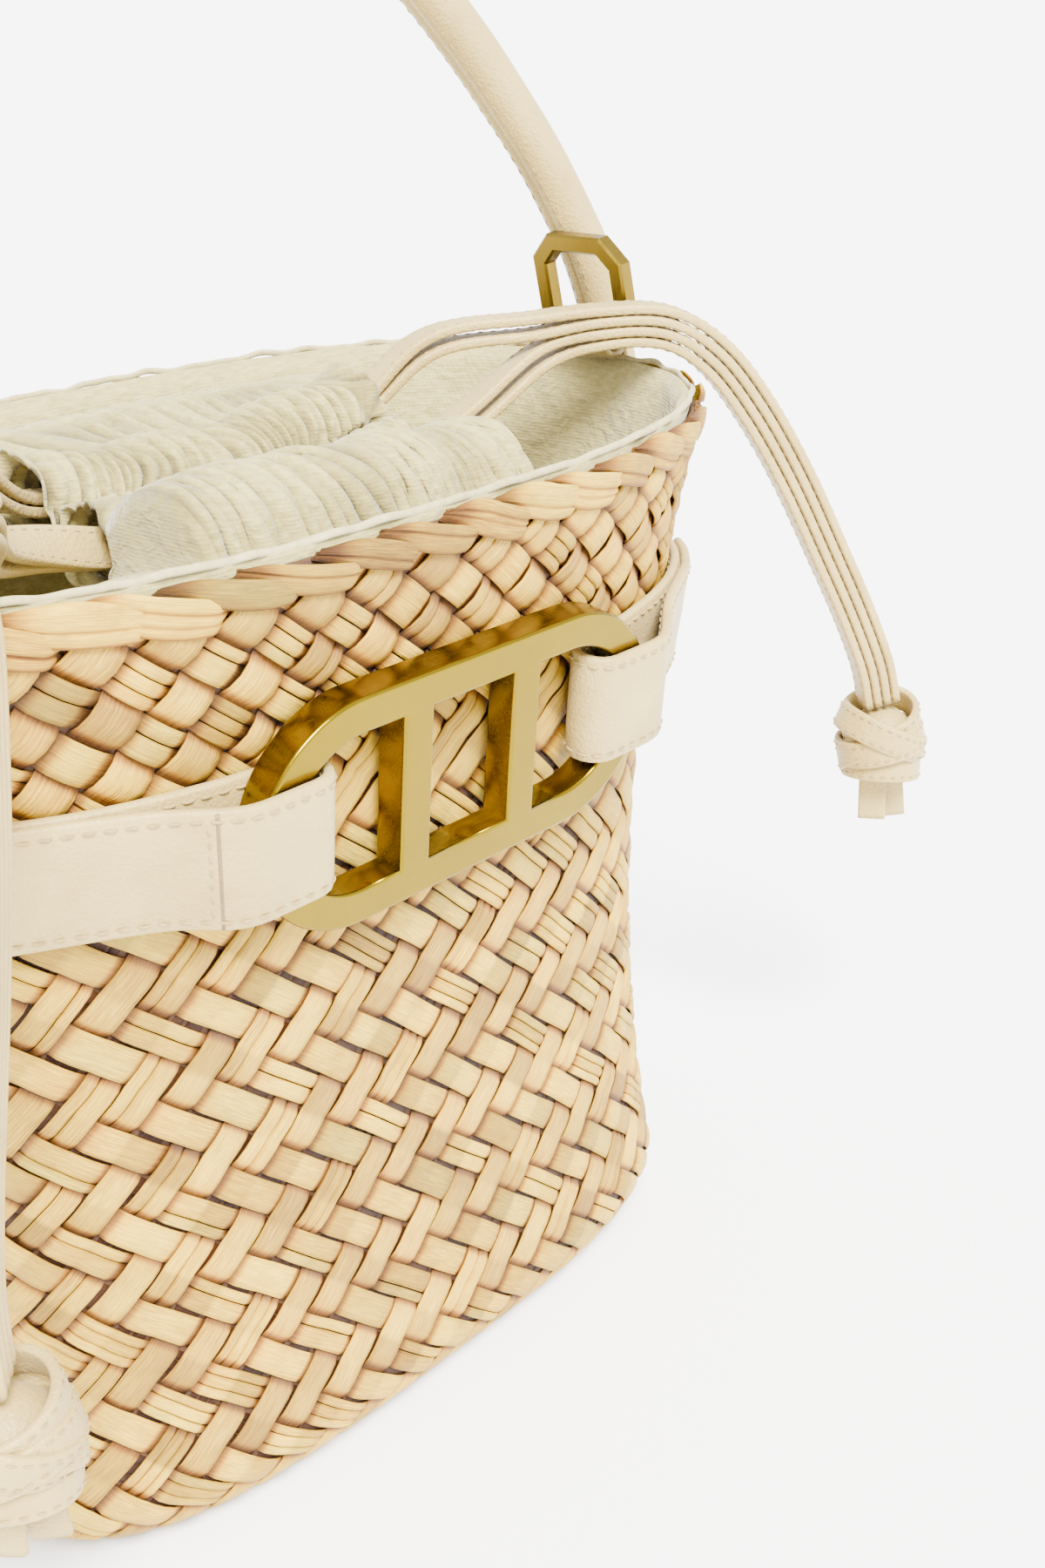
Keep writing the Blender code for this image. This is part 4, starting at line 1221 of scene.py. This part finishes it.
# ------------------------------------------------------------------ rings
def square_ring(label, sign):
    """An octagonal ring of square wire with chamfered edges, leaning in from its lower bar."""
    half, high, cut = RING_HALF - RING_WIRE / 2, RING_HIGH - RING_WIRE, RING_CUT
    corners = [(-half, 1.2), (-half + 1.2, 0), (half - 1.2, 0), (half, 1.2), (half, high - cut),
               (half - cut, high), (cut - half, high), (-half, high - cut)]
    lean = np.array([-math.sin(RING_LEAN), 0, math.cos(RING_LEAN)])
    out = np.array([math.cos(RING_LEAN), 0, math.sin(RING_LEAN)])
    spots = [np.array([RING_X, RING_Y, RING_Z]) + y * np.array([0, 1.0, 0]) + h * lean for y, h in corners]
    w, bevel = RING_WIRE / 2, 0.55
    section = [(w, w - bevel), (w - bevel, w), (bevel - w, w), (-w, w - bevel), (-w, bevel - w),
               (bevel - w, -w), (w - bevel, -w), (w, bevel - w)]
    rings = []
    for k, p in enumerate(spots):
        before, after = unit(p - spots[k - 1]), unit(spots[(k + 1) % len(spots)] - p)
        mitre = unit(np.cross(before, out) + np.cross(after, out))
        stretch = 1 / max(0.5, float(np.dot(mitre, np.cross(before, out))))
        rings.append([p + a * stretch * mitre + b * out for a, b in section])
    rings = np.array(rings)
    rings[..., 0] *= sign
    piece(f"ring_{label}_bar", loft(rings, cyclic=True), BRONZE, [f"ring_{label}"],
          rides=f"clip_ring_{label}", smooth=False)


def ring_keeper(label, sign):
    """The leather keeper round the ring's lower bar, sewn down to the rim."""
    turns = turns_round(40)
    away = np.stack([np.cos(turns), 0 * turns, np.sin(turns)], axis=1)
    bar = np.array([RING_X, RING_Y, RING_Z])
    loop = bar + KEEPER_R * away
    tail = bar + smooth_route([(3.6, 0, -2.4), (3.8, 0, -4.4), (3.6, 0, -6.0), (3.0, 0, -7.4)], 6)
    parts = [loft(strap_rings(line, (0, 1.0, 0), KEEPER_WIDE, KEEPER_THICK, cyclic=closed, corner=0.4))
             for line, closed in ((loop, True), (tail, False))]
    points, faces = merge(parts)
    points[:, 0] *= sign
    hide(f"ring_keeper_{label}", (points, faces), [f"ring_loop_{label}"])
    flip = (sign, 1, 1)
    edge, normal = (loop[:20] + away[:20] * 0.85) * flip, away[:20] * flip
    rows = [stitches(edge + (0, y, 0), normal, pitch=2.7, length=1.8, size=0.4) for y in (-5.8, 5.8)]
    sewing(f"ring_keeper_{label}_seams", rows, [f"ring_loop_{label}"])


for label, sign in (("right", 1), ("left", -1)):
    handle_tab(label, sign)
    square_ring(label, sign)
    ring_keeper(label, sign)


# ------------------------------------------------------------------ floor and light
def studio():
    s = Shader("pale_floor", 0.9, specular=0.1)
    s.colour(s.ramp(s.noise(s.place(), 3.0), [(0.3, (0.935, 0.94, 0.95)), (0.7, (0.945, 0.95, 0.96))]))
    bpy.ops.mesh.primitive_plane_add(size=120)
    floor = bpy.context.object
    floor.name = "studio_floor"
    floor.data.materials.append(s.material)
    world = bpy.data.worlds.new("studio_air")
    world.use_nodes = True
    air = world.node_tree.nodes["Background"]
    air.inputs["Color"].default_value = (0.97, 0.98, 1.0, 1.0)
    air.inputs["Strength"].default_value = AIR_LIGHT
    bpy.context.scene.world = world
    data = bpy.data.lights.new("window_light", "SUN")
    data.energy = SUN_LIGHT
    data.angle = SUN_SPREAD
    data.color = (1.0, 0.985, 0.955)
    light = bpy.data.objects.new("window_light", data)
    light.rotation_euler = Vector(SUN_HEADING).to_track_quat("-Z", "Y").to_euler()
    bpy.context.scene.collection.objects.link(light)


studio()
